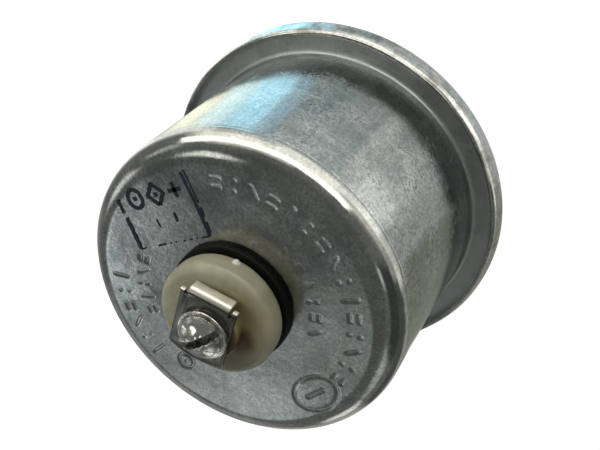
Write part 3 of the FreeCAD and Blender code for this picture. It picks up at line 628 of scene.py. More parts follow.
def crown_height(across, along):
    """Height of the domed head with its worn slot, for distances across and along the slot."""
    rise = HEAD_TOP - WASHER_TOP - HEAD_EDGE
    ball_r = (HEAD_R ** 2 + rise ** 2) / (2 * rise)
    dome = HEAD_TOP - ball_r + np.sqrt(np.maximum(ball_r ** 2 - across ** 2 - along ** 2, 0))
    dome = dome + 0.035 * ripple(across, along, 0, 1.7, 52) * (dome > WASHER_TOP + 0.8)
    burr = np.exp(-((np.abs(across) - SLOT_HALF - 0.1) / 0.16) ** 2) * (np.abs(across) > SLOT_HALF - 0.01)
    dome = dome + 0.15 * burr * (0.6 + ripple(across, along, 0, 1.1, 53)) * (dome > WASHER_TOP + 0.9)
    floor = HEAD_TOP - SLOT_DEPTH + 0.03 * ripple(across, along, 0, 0.9, 54)
    inside = np.clip((SLOT_HALF - np.abs(across)) / 0.035, 0, 1)
    return dome - inside * np.maximum(dome - floor, 0)


def head_points(lines):
    """Points of the head's top, in rows along the slot."""
    grid = []
    for across in lines:
        half = sqrt(HEAD_R ** 2 - across ** 2)
        wear = 0.05 if abs(abs(across) - SLOT_HALF) < 0.2 else 0.0
        for k in range(HEAD_COLUMNS):
            along = half * sin(radians(-90 + 180 * k / (HEAD_COLUMNS - 1)))
            grid.append((along, across + wear * float(ripple(along, 0, 0, 1.4, 51))))
    u, v = np.array(grid).T
    turn = radians(SLOT_DEG)
    x = u * cos(turn) - v * sin(turn)
    y = u * sin(turn) + v * cos(turn)
    return list(zip(x, y, crown_height(v, u)))


def grid_edge(rows, columns):
    """Indices of a grid's points, once round its edge."""
    edge = list(range(columns))
    edge += [i * columns + columns - 1 for i in range(1, rows)]
    edge += [(rows - 1) * columns + k for k in range(columns - 2, -1, -1)]
    return edge + [i * columns for i in range(rows - 2, 0, -1)]


def shank_rings():
    """(radius, height) rings from the head down; a radius of None follows the thread."""
    step = SCREW_PITCH / 12
    top = WASHER_TOP - 0.3
    seat = WASHER_TOP + 0.01
    rings = [(HEAD_R, WASHER_TOP + 0.12), (HEAD_R - 0.12, seat), (SHANK_R + 0.1, seat)]
    rings += [(None, top - i * step) for i in range(int((top - SHANK_END - 0.5) / step))]
    return rings + [(SHANK_R - 0.6, SHANK_END)]


def terminal_screw():
    """Round-headed slotted screw with a threaded shank, as one closed mesh."""
    lines = slot_lines()
    vertices = head_points(lines)
    faces = []
    for i in range(len(lines) - 1):
        for k in range(HEAD_COLUMNS - 1):
            a = i * HEAD_COLUMNS + k
            faces.append((a, a + 1, a + HEAD_COLUMNS + 1, a + HEAD_COLUMNS))
    previous = grid_edge(len(lines), HEAD_COLUMNS)
    angles = [atan2(vertices[i][1], vertices[i][0]) for i in previous]
    for r, height in shank_rings():
        start = len(vertices)
        for a in angles:
            radius = thread_radius(height, a, SCREW_PITCH, SHANK_R, SCREW_DEPTH) if r is None else r
            vertices.append((*round_point(float(radius), a), height))
        current = list(range(start, len(vertices)))
        for i in range(len(angles)):
            j = (i + 1) % len(angles)
            faces.append((previous[i], previous[j], current[j], current[i]))
        previous = current
    faces.append(previous)
    return piece("slotted_screw", vertices, faces, sharp_deg=32)


# ---- ink stamp on the face ----
STAMP_CENTRE = (-16.7, 10.0)
STAMP_TURN = 39.8
STAMP_HALF = (7.7, 6.0)
INK_LIFT = 0.012


def stamp_strokes():
    """An inspector's frame with plain signs in it: (points, width, share that printed)."""
    w, h = STAMP_HALF
    circle = [round_point(1, TURN * i / 24) for i in range(25)]
    ring = [(-3.9 + 1.45 * x, 3.2 + 1.75 * y) for x, y in circle]
    diamond = [(0.7, 1.2), (-1.0, 3.2), (0.7, 5.2), (2.4, 3.2), (0.7, 1.2)]
    return [
        ([(w - 0.15, h), (w + 0.1, 0), (w, -h)], 0.62, 1.0),
        ([(w + 0.65, h + 0.3), (w + 0.75, 0), (w + 0.45, -h + 0.6)], 0.35, 0.9),
        ([(w, -h), (0, -h + 0.1), (-w, -h)], 0.3, 0.55),
        ([(-w, -h), (-w + 0.1, 0), (-w, h - 2.0)], 0.7, 0.93),
        (ring, 0.75, 1.0),
        ([(-4.3, 3.2), (-3.5, 3.2)], 0.9, 1.0),
        (diamond, 0.75, 1.0),
        ([(0.3, 3.2), (1.1, 3.2)], 0.9, 1.0),
        ([(3.5, 3.3), (6.3, 3.3)], 0.75, 1.0),
        ([(4.9, 1.9), (4.9, 4.7)], 0.75, 1.0),
        ([(-1.6, -2.0), (-0.4, -1.9)], 1.6, 0.95),
        ([(1.4, -1.4), (2.9, -1.5)], 1.7, 0.9),
    ]


def ink_stamp():
    """Ribbons of ink just above the face, ragged at the edges and broken where little ink printed."""
    rng = np.random.default_rng(7)
    turn = Matrix.Rotation(radians(STAMP_TURN), 2)
    vertices = []
    faces = []
    for points, width, printed in stamp_strokes():
        line = []
        for (x0, y0), (x1, y1) in zip(points, points[1:]):
            parts = max(2, int(hypot(x1 - x0, y1 - y0) / 0.22))
            line += [Vector((x0 + (x1 - x0) * k / parts, y0 + (y1 - y0) * k / parts)) for k in range(parts)]
        line.append(Vector(points[-1]))
        shown = [True] * len(line)
        while sum(shown) / len(line) > printed:
            gap = int(rng.integers(0, len(line)))
            shown[gap:gap + 3] = [False] * len(shown[gap:gap + 3])
        start = len(vertices)
        for i, point in enumerate(line):
            way = (line[min(i + 1, len(line) - 1)] - line[max(i - 1, 0)]).normalized()
            side = Vector((-way.y, way.x))
            for sign in (-1, 1):
                offset = 0.5 * width * (1 + 0.22 * rng.uniform(-1, 1)) * sign
                spot = turn @ (point + side * offset) + Vector(STAMP_CENTRE)
                vertices.append((spot.x, spot.y, FACE_Z + SHEET_WAVE + INK_LIFT))
        for i in range(len(line) - 1):
            if shown[i] and shown[i + 1]:
                a = start + 2 * i
                faces.append((a, a + 1, a + 3, a + 2))
    used = sorted({i for face in faces for i in face})
    renumber = {old: new for new, old in enumerate(used)}
    vertices = [vertices[i] for i in used]
    return piece("ink_stamp", vertices, [[renumber[i] for i in face] for face in faces])


# ---- wound pieces inside the can ----
def wire(name, points, radius):
    """A round wire along millimetre points, as a mesh."""
    curve = poly_curve(name, "3D", radius, [points], False)
    curve.use_fill_caps = True
    return as_mesh_object(name, curve)


WIPER_PIVOT = (-10.5, 34.6)
WINDING_HALF_DEG = 19.3
TRACK_INNER_R = 12.6
TRACK_OUTER_R = 17.2
WINDING_WIRE_R = 0.115
WINDING_LIFT = 0.125    # middle of the wire above the former
SPRING_WIRE_R = 0.25


def winding():
    """Close turns of fine wire round the former, stepping along its arc."""
    turns = 38
    low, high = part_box("rheostat_former")
    y_low = low.y / MM - WINDING_LIFT
    y_high = high.y / MM + WINDING_LIFT
    inner = TRACK_INNER_R - WINDING_LIFT
    outer = TRACK_OUTER_R + WINDING_LIFT
    loop = divided([(inner, y_low), (outer, y_low), (outer, y_high), (inner, y_high)], lambda r, z: 1.2)
    points = []
    for i in range(turns * len(loop)):
        r, y = loop[i % len(loop)]
        a = radians(-WINDING_HALF_DEG + 2 * WINDING_HALF_DEG * i / (turns * len(loop)))
        points.append((WIPER_PIVOT[0] + r * sin(a), y, WIPER_PIVOT[1] + r * cos(a)))
    return wire("wire_winding", points, WINDING_WIRE_R)


def tension_spring():
    """Close-wound spring with a straight leg from the middle of each end."""
    low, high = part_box("return_spring")
    x = 0.5 * (low.x + high.x) / MM
    y = 0.5 * (low.y + high.y) / MM
    coil_r = 0.5 * (high.x - low.x) / MM - SPRING_WIRE_R
    coil_low = low.z / MM + 3.0
    coil_high = high.z / MM - 2.1
    turns = 19
    per_turn = 20
    points = [(x, y, low.z / MM + 0.1), (x, y, coil_low - 0.6)]
    for i in range(turns * per_turn + 1):
        dx, dy = round_point(coil_r, TURN * i / per_turn)
        points.append((x + dx, y + dy, coil_low + (coil_high - coil_low) * i / (turns * per_turn)))
    points += [(x, y, coil_high + 0.6), (x, y, high.z / MM - 0.1)]
    return wire("wound_spring", points, SPRING_WIRE_R)


# ---- materials ----
class Paint:
    """Short calls that build one node tree. A material's coordinates are the row frame, in metres."""

    def __init__(self, name, world=None):
        if world is None:
            self.material = bpy.data.materials.new(name)
            self.material.use_nodes = True
        self.tree = (world or self.material).node_tree
        coordinates = self.tree.nodes.new("ShaderNodeTexCoord").outputs
        self.place = coordinates["Generated" if world else "Object"]
        self.shader = self.tree.nodes.get("Principled BSDF")

    def put(self, kind, settings=None, **links):
        """A new shader node; links are named after its inputs, or i0, i1 and so on by their places."""
        node = self.tree.nodes.new("ShaderNode" + kind)
        for key, value in (settings or {}).items():
            setattr(node, key, value)
        for key, value in links.items():
            self.feed(node.inputs[int(key[1:]) if key[1:].isdigit() else key.replace("_", " ")], value)
        return node

    def feed(self, socket, value):
        if isinstance(value, bpy.types.NodeSocket):
            self.tree.links.new(value, socket)
        else:
            socket.default_value = value

    def noise(self, size, stretch=(1, 1, 1), detail=4.0, rough=0.55, offset=0.0, swirl=0.0):
        """Noise whose features are about size millimetres, bent into swirls by distortion."""
        vector = self.put("Mapping", i0=self.place, i1=(offset, offset, 0), i3=stretch).outputs[0]
        return self.put("TexNoise", Vector=vector, Scale=1 / (size * MM), Detail=detail,
                        Roughness=rough, Distortion=swirl).outputs[0]

    def ring_lines(self, size, offset=0.0):
        """Fine lines running round the axis: noise that depends on the radius and height only."""
        x, y, z = self.xyz()
        radius = self.sum(self.sum(self.sum(x, 2.0, "POWER"), self.sum(y, 2.0, "POWER")), 0.5, "POWER")
        drift = 0.02
        vector = self.put("CombineXYZ", i0=self.sum(radius, self.times(x, drift)),
                          i1=self.times(y, drift), i2=self.sum(z, offset)).outputs[0]
        return self.put("TexNoise", Vector=vector, Scale=1 / (size * MM), Detail=3.0,
                        Roughness=0.6).outputs[0]

    def contour(self, value, level, width):
        """1 along the line where a value passes a level, falling to 0 at width either side."""
        return self.sharpen(self.unsigned(self.sum(value, -level)), 0.0, width, 1.0, 0.0)

    def sharpen(self, value, low, high, to_low=0.0, to_high=1.0):
        """Map low..high of a value onto to_low..to_high, clamped."""
        return self.put("MapRange", {"clamp": True}, i0=value, i1=low, i2=high, i3=to_low,
                        i4=to_high).outputs[0]

    def xyz(self):
        return self.put("SeparateXYZ", i0=self.place).outputs

    def sum(self, a, b, operation="ADD"):
        return self.put("Math", {"operation": operation}, i0=a, i1=b).outputs[0]

    def times(self, a, b):
        return self.sum(a, b, "MULTIPLY")

    def unsigned(self, value):
        return self.put("Math", {"operation": "ABSOLUTE"}, i0=value).outputs[0]

    def over(self, color, *coats):
        """Lay (factor, red, green, blue) coats over a colour, one after another."""
        for factor, *coat in coats:
            color = self.blend(factor, color, rgb(*coat))
        return color

    def blend(self, factor, a, b):
        return self.put("Mix", {"data_type": "RGBA"}, i0=factor, i6=a, i7=b).outputs[2]

    def near(self, centre, radius, soft):
        """1 inside a ball about a millimetre point, falling to 0 over the soft distance."""
        offset = self.put("VectorMath", {"operation": "DISTANCE"}, i0=self.place,
                          i1=tuple(c * MM for c in centre)).outputs["Value"]
        return self.sharpen(offset, radius * MM, (radius + soft) * MM, 1.0, 0.0)

    def bumps(self, *layers):
        """Stack (height, millimetres deep) layers of bump on the shader."""
        normal = None
        for height, deep in layers:
            node = self.put("Bump", Height=height, Distance=deep * MM, Strength=1.0)
            if normal is not None:
                self.feed(node.inputs["Normal"], normal)
            normal = node.outputs[0]
        self.feed(self.shader.inputs["Normal"], normal)

    def finish(self, color, roughness, metallic=0.0, **fixed):
        self.feed(self.shader.inputs["Base Color"], color)
        self.feed(self.shader.inputs["Roughness"], roughness)
        self.shader.inputs["Metallic"].default_value = metallic
        for key, value in fixed.items():
            self.shader.inputs[key.replace("_", " ")].default_value = value
        return self.material


def rgb(r, g, b):
    return (r, g, b, 1.0)


def zinc_plate():
    """Satin zinc on the drawn can: swirled rubbing marks, dark pits, smudges and axial draw lines."""
    p = Paint("zinc_plate")
    height = p.xyz()[2]
    on_wall = p.sharpen(height, (FACE_Z - 4.0) * MM, (FACE_Z - 6.0) * MM)
    corner = p.contour(height, (FACE_Z - 2.0) * MM, 3.0 * MM)
    foot = p.sharpen(height, (FLANGE_Z + 2.5) * MM, (FLANGE_Z + 0.8) * MM)
    grain = p.noise(0.45, detail=3, rough=0.7)
    cloud = p.noise(5.0, detail=4, rough=0.6, swirl=0.6)
    worn = p.sharpen(p.noise(9.0, detail=2, offset=0.4), 0.42, 0.60)
    swirls = p.contour(p.noise(2.0, detail=3, rough=0.6, offset=0.1, swirl=1.6), 0.5, 0.075)
    swirls = p.times(p.times(swirls, worn), on_wall)
    pits = p.sharpen(p.noise(0.9, detail=4, rough=0.65, offset=0.9, swirl=1.0), 0.54, 0.66)
    pits = p.times(pits, p.sharpen(worn, 0.0, 1.0, 0.15, 0.9))
    speck = p.noise(0.5, detail=2, rough=0.5, offset=0.6)
    streak = p.noise(1.1, stretch=(1, 1, 0.05), detail=4, rough=0.6)
    smudge = p.noise(4.5, stretch=(1, 1, 0.6), detail=5, rough=0.65, offset=0.3)
    smudge = p.sharpen(smudge, 0.50, 0.66)
    color = p.blend(p.sharpen(cloud, 0.35, 0.65), rgb(0.325, 0.350, 0.345), rgb(0.560, 0.575, 0.560))
    color = p.over(
        color,
        (p.times(smudge, 0.65), 0.27, 0.30, 0.305),
        (p.times(p.sharpen(streak, 0.45, 0.75), on_wall), 0.53, 0.54, 0.53),
        (p.sharpen(speck, 0.38, 0.62, 0.0, 0.62), 0.20, 0.215, 0.21),
        (p.times(pits, 0.75), 0.12, 0.13, 0.125),
        (p.times(swirls, 0.55), 0.70, 0.71, 0.70),
        (p.times(corner, 0.55), 0.60, 0.59, 0.56),
        (p.times(foot, p.sharpen(speck, 0.3, 0.7, 0.25, 0.8)), 0.62, 0.66, 0.64))
    rough = p.sharpen(p.sum(cloud, grain), 0.75, 1.25, 0.13, 0.23)
    for mask, change in ((smudge, 0.05), (swirls, 0.12), (corner, -0.07), (foot, 0.22)):
        rough = p.sum(rough, p.times(mask, change))
    p.bumps((cloud, 0.035), (grain, 0.0040), (streak, 0.010), (swirls, 0.004), (p.ring_lines(0.30), 0.0045))
    return p.finish(color, rough, 1.0)


def zinc_rim():
    """The rolled rim: brighter where the roller burnished it, with fine lines round it and old stains."""
    p = Paint("zinc_rim")
    mottle = p.noise(0.7, detail=5)
    lines = p.ring_lines(0.28, 0.7)
    dark_patch = p.sharpen(p.noise(5.0, detail=5, rough=0.6, offset=0.5), 0.50, 0.64, 0.0, 0.7)
    color = p.blend(p.sharpen(mottle, 0.35, 0.65), rgb(0.42, 0.43, 0.415), rgb(0.66, 0.66, 0.64))
    burnish = p.sharpen(lines, 0.45, 0.70, 0.0, 0.7)
    color = p.over(color, (burnish, 0.80, 0.80, 0.77), (dark_patch, 0.20, 0.19, 0.17))
    p.bumps((mottle, 0.008), (lines, 0.010))
    return p.finish(color, p.sharpen(mottle, 0.3, 0.7, 0.08, 0.18), 1.0)


def turned_metal(name, dark, light, low_rough, high_rough, size):
    """Machined metal: lines round the axis, slight tarnish and uneven polish."""
    p = Paint(name)
    lines = p.noise(0.25, stretch=(0.1, 0.1, 1), detail=3)
    # tarnish at random places only; no shade is painted here
    tarnish_and_shade = p.noise(size * 3, detail=5, rough=0.6)
    grain = p.noise(size * 0.4, detail=4)
    color = p.blend(tarnish_and_shade, rgb(*dark), rgb(*light))
    rough = p.sharpen(p.sum(tarnish_and_shade, grain), 0.7, 1.3, low_rough, high_rough)
    p.bumps((lines, 0.008), (grain, 0.004))
    return p.finish(color, rough, 1.0)


def worn_nickel():
    """Plating of the screw and washer: bright, dinged, with grey worn patches, darker inside the slot, and
    painted shade on the head's -Y side.
    """
    p = Paint("worn_nickel")
    ding = p.noise(1.3, detail=4, rough=0.55)
    worn = p.sharpen(p.noise(1.6, detail=4, offset=0.2), 0.47, 0.62)
    scratch = p.noise(0.12, stretch=(1, 0.15, 1), detail=2)
    x, y, z = p.xyz()
    turn = radians(SLOT_DEG)
    across = p.unsigned(p.sum(p.times(x, -sin(turn)), p.times(y, cos(turn))))
    # the inside of the slot made dark, near black where the plating is worn
    slot_darkening = p.times(p.sharpen(across, SLOT_HALF * MM, (SLOT_HALF - 0.06) * MM),
                    p.sharpen(z, (WASHER_TOP + 0.2) * MM, (WASHER_TOP + 0.4) * MM))
    # painted shade: a dark patch on the head's -Y side, standing in for the shade on that half of the head
    tarnish_and_shade = p.near((0.6, -2.6, HEAD_TOP - 1.2), 1.3, 1.8)
    color = p.blend(worn, rgb(0.82, 0.80, 0.76), rgb(0.40, 0.39, 0.37))
    color = p.over(color, (p.times(tarnish_and_shade, 0.8), 0.19, 0.19, 0.175))
    color = p.blend(slot_darkening, color, p.blend(worn, rgb(0.16, 0.16, 0.15), rgb(0.05, 0.05, 0.045)))
    rough = p.sum(p.sharpen(worn, 0.0, 1.0, 0.11, 0.24), p.times(slot_darkening, 0.25))
    p.bumps((ding, 0.07), (scratch, 0.006))
    return p.finish(color, rough, 1.0)


def tinned_sheet():
    """The terminal plate: dull brownish tin, scuffed and with a painted highlight, pale and rough, on the
    lug and at the ends of the ears.
    """
    p = Paint("tinned_sheet")
    cloud = p.noise(2.5, detail=4)
    fine = p.noise(0.3, stretch=(1, 0.2, 1), detail=3)
    # scuffed tin with a painted highlight: past the start of the bend the tin is made pale cream and
    # rougher
    scuff_and_highlight = p.sharpen(p.xyz()[1], (BEND_Y + 0.25) * MM, (BEND_Y + 0.55) * MM)
    color = p.blend(cloud, rgb(0.105, 0.097, 0.087), rgb(0.21, 0.20, 0.175))
    color = p.over(color, (scuff_and_highlight, 0.95, 0.91, 0.83))
    rough = p.sum(p.sharpen(cloud, 0.3, 0.7, 0.14, 0.26), p.times(scuff_and_highlight, 0.24))
    p.bumps((cloud, 0.02), (fine, 0.004))
    return p.finish(color, rough, 1.0)


def moulded_nylon():
    """Aged olive-cream nylon, amber round the plate, with a dark brown patch beside the plate, painted
    shade on the +X, -Y side, and a pale pip.
    """
    p = Paint("moulded_nylon")
    cloud = p.noise(3.0, detail=4)
    bloom = p.noise(5.0, detail=3, offset=0.4)
    speck = p.noise(0.5, detail=3)
    shaded = p.near((6.5, -7.0, SHOULDER_Z), 3.0, 8.0)
    amber = p.near((2.6, 2.2, SHOULDER_Z), 5.0, 3.0)
    # a dark brown patch at the plate's +X edge
    dark_patch = p.near((5.2, -0.6, SHOULDER_Z + 0.5), 1.7, 2.0)
    pip = (*round_point(INSULATOR_R, radians(PIP_DEG)), RUBBER_TOP + PIP_HEIGHT)
    color = p.blend(p.sharpen(cloud, 0.3, 0.7), rgb(0.39, 0.37, 0.245), rgb(0.56, 0.535, 0.39))
    color = p.over(
        color,
        (p.sharpen(bloom, 0.42, 0.62, 0.0, 0.55), 0.42, 0.38, 0.29),
        (p.times(shaded, 0.70), 0.12, 0.115, 0.065),
        (p.times(amber, 0.72), 0.27, 0.20, 0.055),
        (p.times(dark_patch, p.sharpen(cloud, 0.2, 0.8, 0.7, 1.2)), 0.085, 0.036, 0.010),
        (p.near(pip, 0.55, 0.35), 0.90, 0.88, 0.82))
    p.bumps((cloud, 0.06), (speck, 0.010))
    return p.finish(color, p.sharpen(cloud, 0.3, 0.7, 0.32, 0.46), 0.0, Subsurface_Weight=0.2,
                    Subsurface_Radius=(0.0014, 0.0010, 0.0005), Subsurface_Scale=1.0)


def matte(name, dark, light, roughness, size=0.6, deep=0.01, shine=0.5):
    """Rubber, fibre, laminate or ink: two tones of one colour with a fine surface."""
    p = Paint(name)
    grain = p.noise(size, detail=4)
    p.bumps((grain, deep))
    rough = p.sharpen(grain, 0.3, 0.7, roughness, roughness + 0.12)
    return p.finish(p.blend(grain, rgb(*dark), rgb(*light)), rough, 0.0, Specular_IOR_Level=shine)


def layered(name, dark, light):
    """Paper laminate: thin layers seen at its edges."""
    p = Paint(name)
    layers = p.noise(0.12, stretch=(0.1, 1, 0.1), detail=2)
    fleck = p.noise(0.8, detail=5)
    color = p.blend(p.sharpen(p.sum(layers, fleck), 0.7, 1.3), rgb(*dark), rgb(*light))
    p.bumps((layers, 0.01), (fleck, 0.01))
    return p.finish(color, p.sharpen(fleck, 0.3, 0.7, 0.45, 0.6))


METALS = (      # slot, material, dark and light tones, least and most roughness, size of the tarnish
    ("fitting_steel", "fitting_zinc", (0.32, 0.33, 0.31), (0.50, 0.51, 0.49), 0.20, 0.36, 0.8),
    ("brass", "dull_brass", (0.50, 0.36, 0.15), (0.72, 0.55, 0.26), 0.22, 0.38, 0.8),
    ("bronze_strip", "rolled_bronze", (0.50, 0.30, 0.16), (0.68, 0.45, 0.26), 0.20, 0.34, 0.8),
    ("mechanism_steel", "pressed_steel", (0.48, 0.48, 0.46), (0.62, 0.62, 0.60), 0.25, 0.40, 0.8),
    ("spring_steel", "spring_wire", (0.30, 0.30, 0.31), (0.48, 0.48, 0.48), 0.22, 0.34, 0.4),
    ("silver", "contact_silver", (0.70, 0.69, 0.66), (0.88, 0.87, 0.84), 0.15, 0.28, 0.3),
    ("resistance_wire", "wire_alloy", (0.36, 0.33, 0.30), (0.56, 0.52, 0.47), 0.25, 0.4, 0.3),
)
BLACK = ((0.003, 0.003, 0.003), (0.008, 0.008, 0.007))
RED_BROWN = ((0.26, 0.09, 0.05), (0.42, 0.17, 0.10))


def make_materials():
    """One material for each slot."""
    made = {slot: turned_metal(*rest) for slot, *rest in METALS}
    made["zinc_can"] = zinc_plate()
    made["zinc_base"] = zinc_rim()
    made["black_rubber"] = matte("black_rubber", *BLACK, 0.45, 0.5, 0.02, 0.25)
    made["fibre"] = matte("red_fibre", *RED_BROWN, 0.5, 0.8, 0.02)
    made["laminate"] = layered("paper_laminate", (0.20, 0.10, 0.04), (0.38, 0.22, 0.10))
    made["nylon"] = moulded_nylon()
    made["tinned_plate"] = tinned_sheet()
    made["screw_plating"] = worn_nickel()
    return made


def dress_cad_nodes(materials):
    """Give every CAD node that keeps its own mesh the procedural material of its slot."""
    slots = {part["node"]: part["material_slot"] for part in frame["record"]["subparts"]}
    for node, obj in frame["nodes"].items():
        for holder in obj.material_slots:
            holder.material = materials[slots[node]]


def build(made):
    """Every piece of the visual model, on its body and in place of its CAD node."""
    for make, body, slot, node in (
            (can_shell, "root", "zinc_can", "cover_can"),
            (base_shell, "root", "zinc_base", "base_dish"),
            (threaded_fitting, "root", "fitting_steel", "hex_fitting"),
            (insulator, "root", "nylon", "terminal_insulator"),
            (rubber_seal, "root", "black_rubber", "rubber_washer"),
            (terminal_plate, "root", "tinned_plate", "terminal_plate"),
            (flat_washer, "terminal_washer", "screw_plating", "screw_washer"),
            (terminal_screw, "terminal_screw", "screw_plating", "terminal_screw"),
            (winding, "root", "resistance_wire", "resistance_winding")):
        place(make(), made[slot], body, slot, node)
    ink = matte("stamp_ink", (0.004, 0.004, 0.012), (0.02, 0.02, 0.05), 0.35, 0.7, 0.01)
    place(ink_stamp(), ink, "root", None)
    place_spring(made)


def place_spring(made):
    """The return spring, which the wiper's tail carries at its top, built where the CAD spring stands and
    put on no body.
    """
    spring = tension_spring()
    spring.data.materials.append(made["spring_steel"])
    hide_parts("return_spring")
    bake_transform(spring)


# ---- stage ----
STAGE_HALF = 1500.0


def stage_square(z):
    """Vertices and faces of the level square that the object stands in the middle of."""
    half = STAGE_HALF
    return [(-half, -half, z), (half, -half, z), (half, half, z), (-half, half, z)], [(0, 1, 2, 3)]


def floor():
    """Large pale floor with a little light of its own, so that shadows on it stay faint."""
    ground = piece("floor", *stage_square(FLOOR_Z - 0.05))
    p = Paint("pale_floor")
    p.shader.inputs["Specular IOR Level"].default_value = 0.1
    p.shader.inputs["Emission Color"].default_value = rgb(1.0, 1.0, 1.0)
    p.shader.inputs["Emission Strength"].default_value = 0.82
    ground.data.materials.append(p.finish(rgb(0.85, 0.85, 0.85), 0.9))


def fields(p, azimuth, other, windows, color):
    """Lay soft-edged fields over a colour, each bounded in azimuth and in one other coordinate."""
    for (az_low, az_high), (low, high), (soft_az, soft), light in windows:
        away = p.sum(azimuth, -0.5 * (az_low + az_high))
        away = p.put("Math", {"operation": "WRAP"}, i0=away, i1=180.0, i2=-180.0).outputs[0]
        from_middle = p.sum(other, -0.5 * (low + high))
        level = 1.0
        for value, width, edge in ((away, az_high - az_low, soft_az), (from_middle, high - low, soft)):
            inside = p.put("MapRange", {"interpolation_type": "SMOOTHSTEP"}, i0=p.unsigned(value),
                           i1=0.5 * (width - edge), i2=0.5 * (width + edge), i3=1.0, i4=0.0).outputs[0]
            level = p.times(inside, level)
        color = p.over(color, (level, *light))
    return color


def degrees_round(p, x, y):
    """Azimuth in degrees of a pair of coordinates."""
    return p.times(p.sum(y, x, "ARCTAN2"), degrees(1))


FLOOR_LIGHT = (0.50, 0.50, 0.48)
FLOOR_FIELDS = (    # azimuths in degrees, distances from the axis in millimetres, soft edges, and light
    ((150, 215), (75, 130), (10, 30), (1.45, 1.45, 1.38)),
    ((150, 215), (190, 1600), (10, 60), (0.20, 0.21, 0.20)),
    ((215, 270), (60, 105), (10, 16), (0.90, 0.90, 0.86)),
    ((215, 270), (105, 1600), (10, 20), (0.30, 0.31, 0.29)),
    ((270, 300), (60, 150), (8, 14), (1.20, 1.18, 1.10)),
    ((300, 372), (130, 1600), (8, 60), (0.10, 0.11, 0.10)),
    ((306, 372), (36, 92), (8, 14), (0.275, 0.285, 0.235)),
    ((6, 36), (88, 170), (8, 14), (1.15, 1.13, 1.04)),
    ((32, 120), (36, 70), (22, 10), (0.55, 0.59, 0.57)),
    ((48, 120), (65, 90), (14, 8), (0.72, 0.78, 0.77)),
    ((96, 117), (50, 66), (8, 6), (0.38, 0.45, 0.45)),
    ((66, 73), (50, 78), (3, 20), (0.82, 0.85, 0.81)),
    ((60, 152), (93, 1600), (20, 7), (1.75, 1.70, 1.54)),
    ((36, 66), (72, 200), (12, 10), (1.85, 1.82, 1.70)),
    ((36, 66), (200, 1600), (14, 60), (0.95, 0.90, 0.82)),
    ((108, 145), (88, 150), (10, 20), (1.05, 1.05, 1.00)),
    ((119, 127), (46, 76), (3, 4), (0.62, 0.90, 1.05)),
    ((128, 152), (44, 77), (2, 4), (0.98, 1.66, 1.95)),
    ((150, 168), (44, 77), (10, 4), (1.40, 1.80, 1.80)),
    ((168, 190), (44, 73), (8, 5), (1.60, 1.60, 1.25)),
    ((288, 307), (45, 66), (6, 6), (1.60, 1.60, 1.48)),
)


def glow_stage(name, vertices, faces, color_of, in_view=False):
    """Glowing stage piece, seen in view or else in reflections; color_of(paint) gives its colour."""
    board = piece(name, vertices, faces)
    p = Paint(name)
    p.tree.nodes.remove(p.shader)
    glow = p.put("Emission", Color=color_of(p), Strength=1.0).outputs[0]
    p.feed(p.tree.nodes["Material Output"].inputs["Surface"], glow)
    board.data.materials.append(p.material)
    board.visible_camera = in_view
    board.visible_glossy = not in_view
    board.visible_diffuse = False
    board.visible_shadow = False
    board.visible_transmission = False


def floor_color(p):
    x, y, _ = p.xyz()
    distance = p.put("VectorMath", {"operation": "LENGTH"}, i0=p.place).outputs["Value"]
    return fields(p, degrees_round(p, x, y), p.times(distance, 1 / MM), FLOOR_FIELDS, rgb(*FLOOR_LIGHT))


def reflector():
    """Broad board just above the floor, seen only in reflections."""
    glow_stage("reflector", *stage_square(FLOOR_Z - 0.02), floor_color)


def standing_band(radius, heights, azimuths, steps):
    """Vertices and faces of an upright curved strip between two azimuths in degrees."""
    vertices = []
    for i in range(steps + 1):
        a = radians(azimuths[0] + (azimuths[1] - azimuths[0]) * i / steps)
        vertices += [(*round_point(radius, a), z) for z in heights]
    return vertices, [(2 * i, 2 * i + 1, 2 * i + 3, 2 * i + 2) for i in range(steps)]


CARD_R = 105.0
CARD_HEIGHTS = (44.0, 76.0)
CARD_AZIMUTHS = (59.0, 152.0)
CARD_LIGHT = (2.4, 2.35, 2.2)


def hanging_card():
    """Curved pale card behind the can, level with its face, seen only in reflections."""
    band = standing_band(CARD_R, CARD_HEIGHTS, CARD_AZIMUTHS, 24)
    glow_stage("hanging_card", *band, lambda p: rgb(*CARD_LIGHT))


BACKDROP_R = 1450.0
BACKDROP_HEIGHT = 3000.0
BACKDROP_LIGHT = (0.99, 0.99, 0.99)


def backdrop():
    """Plain white wall far round the floor, for views that look over the floor's edge."""
    band = standing_band(BACKDROP_R, (FLOOR_Z - 1, FLOOR_Z + BACKDROP_HEIGHT), (0, 360), 48)
    glow_stage("backdrop", *band, lambda p: rgb(*BACKDROP_LIGHT), in_view=True)


def soft_light(name, azimuth, elevation, distance, size, watts, color=(1, 1, 1)):
    """Rectangular lamp aimed at the middle of the can, not mirrored in the metal."""
    data = bpy.data.lights.new(name, "AREA")
    data.shape = "RECTANGLE"
    data.size = size[0] * MM
    data.size_y = size[1] * MM
    data.energy = watts
    data.color = color
    lamp = linked(name, data)
    a = radians(azimuth)
    e = radians(elevation)
    away = Vector((cos(a) * cos(e), sin(a) * cos(e), sin(e)))
    lamp.location = (Vector((0, 0, 0.5 * FACE_Z)) + away * distance) * MM
    lamp.rotation_euler = away.to_track_quat("Z", "Y").to_euler()
    lamp.visible_camera = False
    lamp.visible_glossy = False


def lights():
    soft_light("key", 150, 40, 420, (220, 160), 0.24)
    soft_light("back_softbox", 95, 30, 420, (420, 60), 0.22, (1.0, 0.98, 0.93))


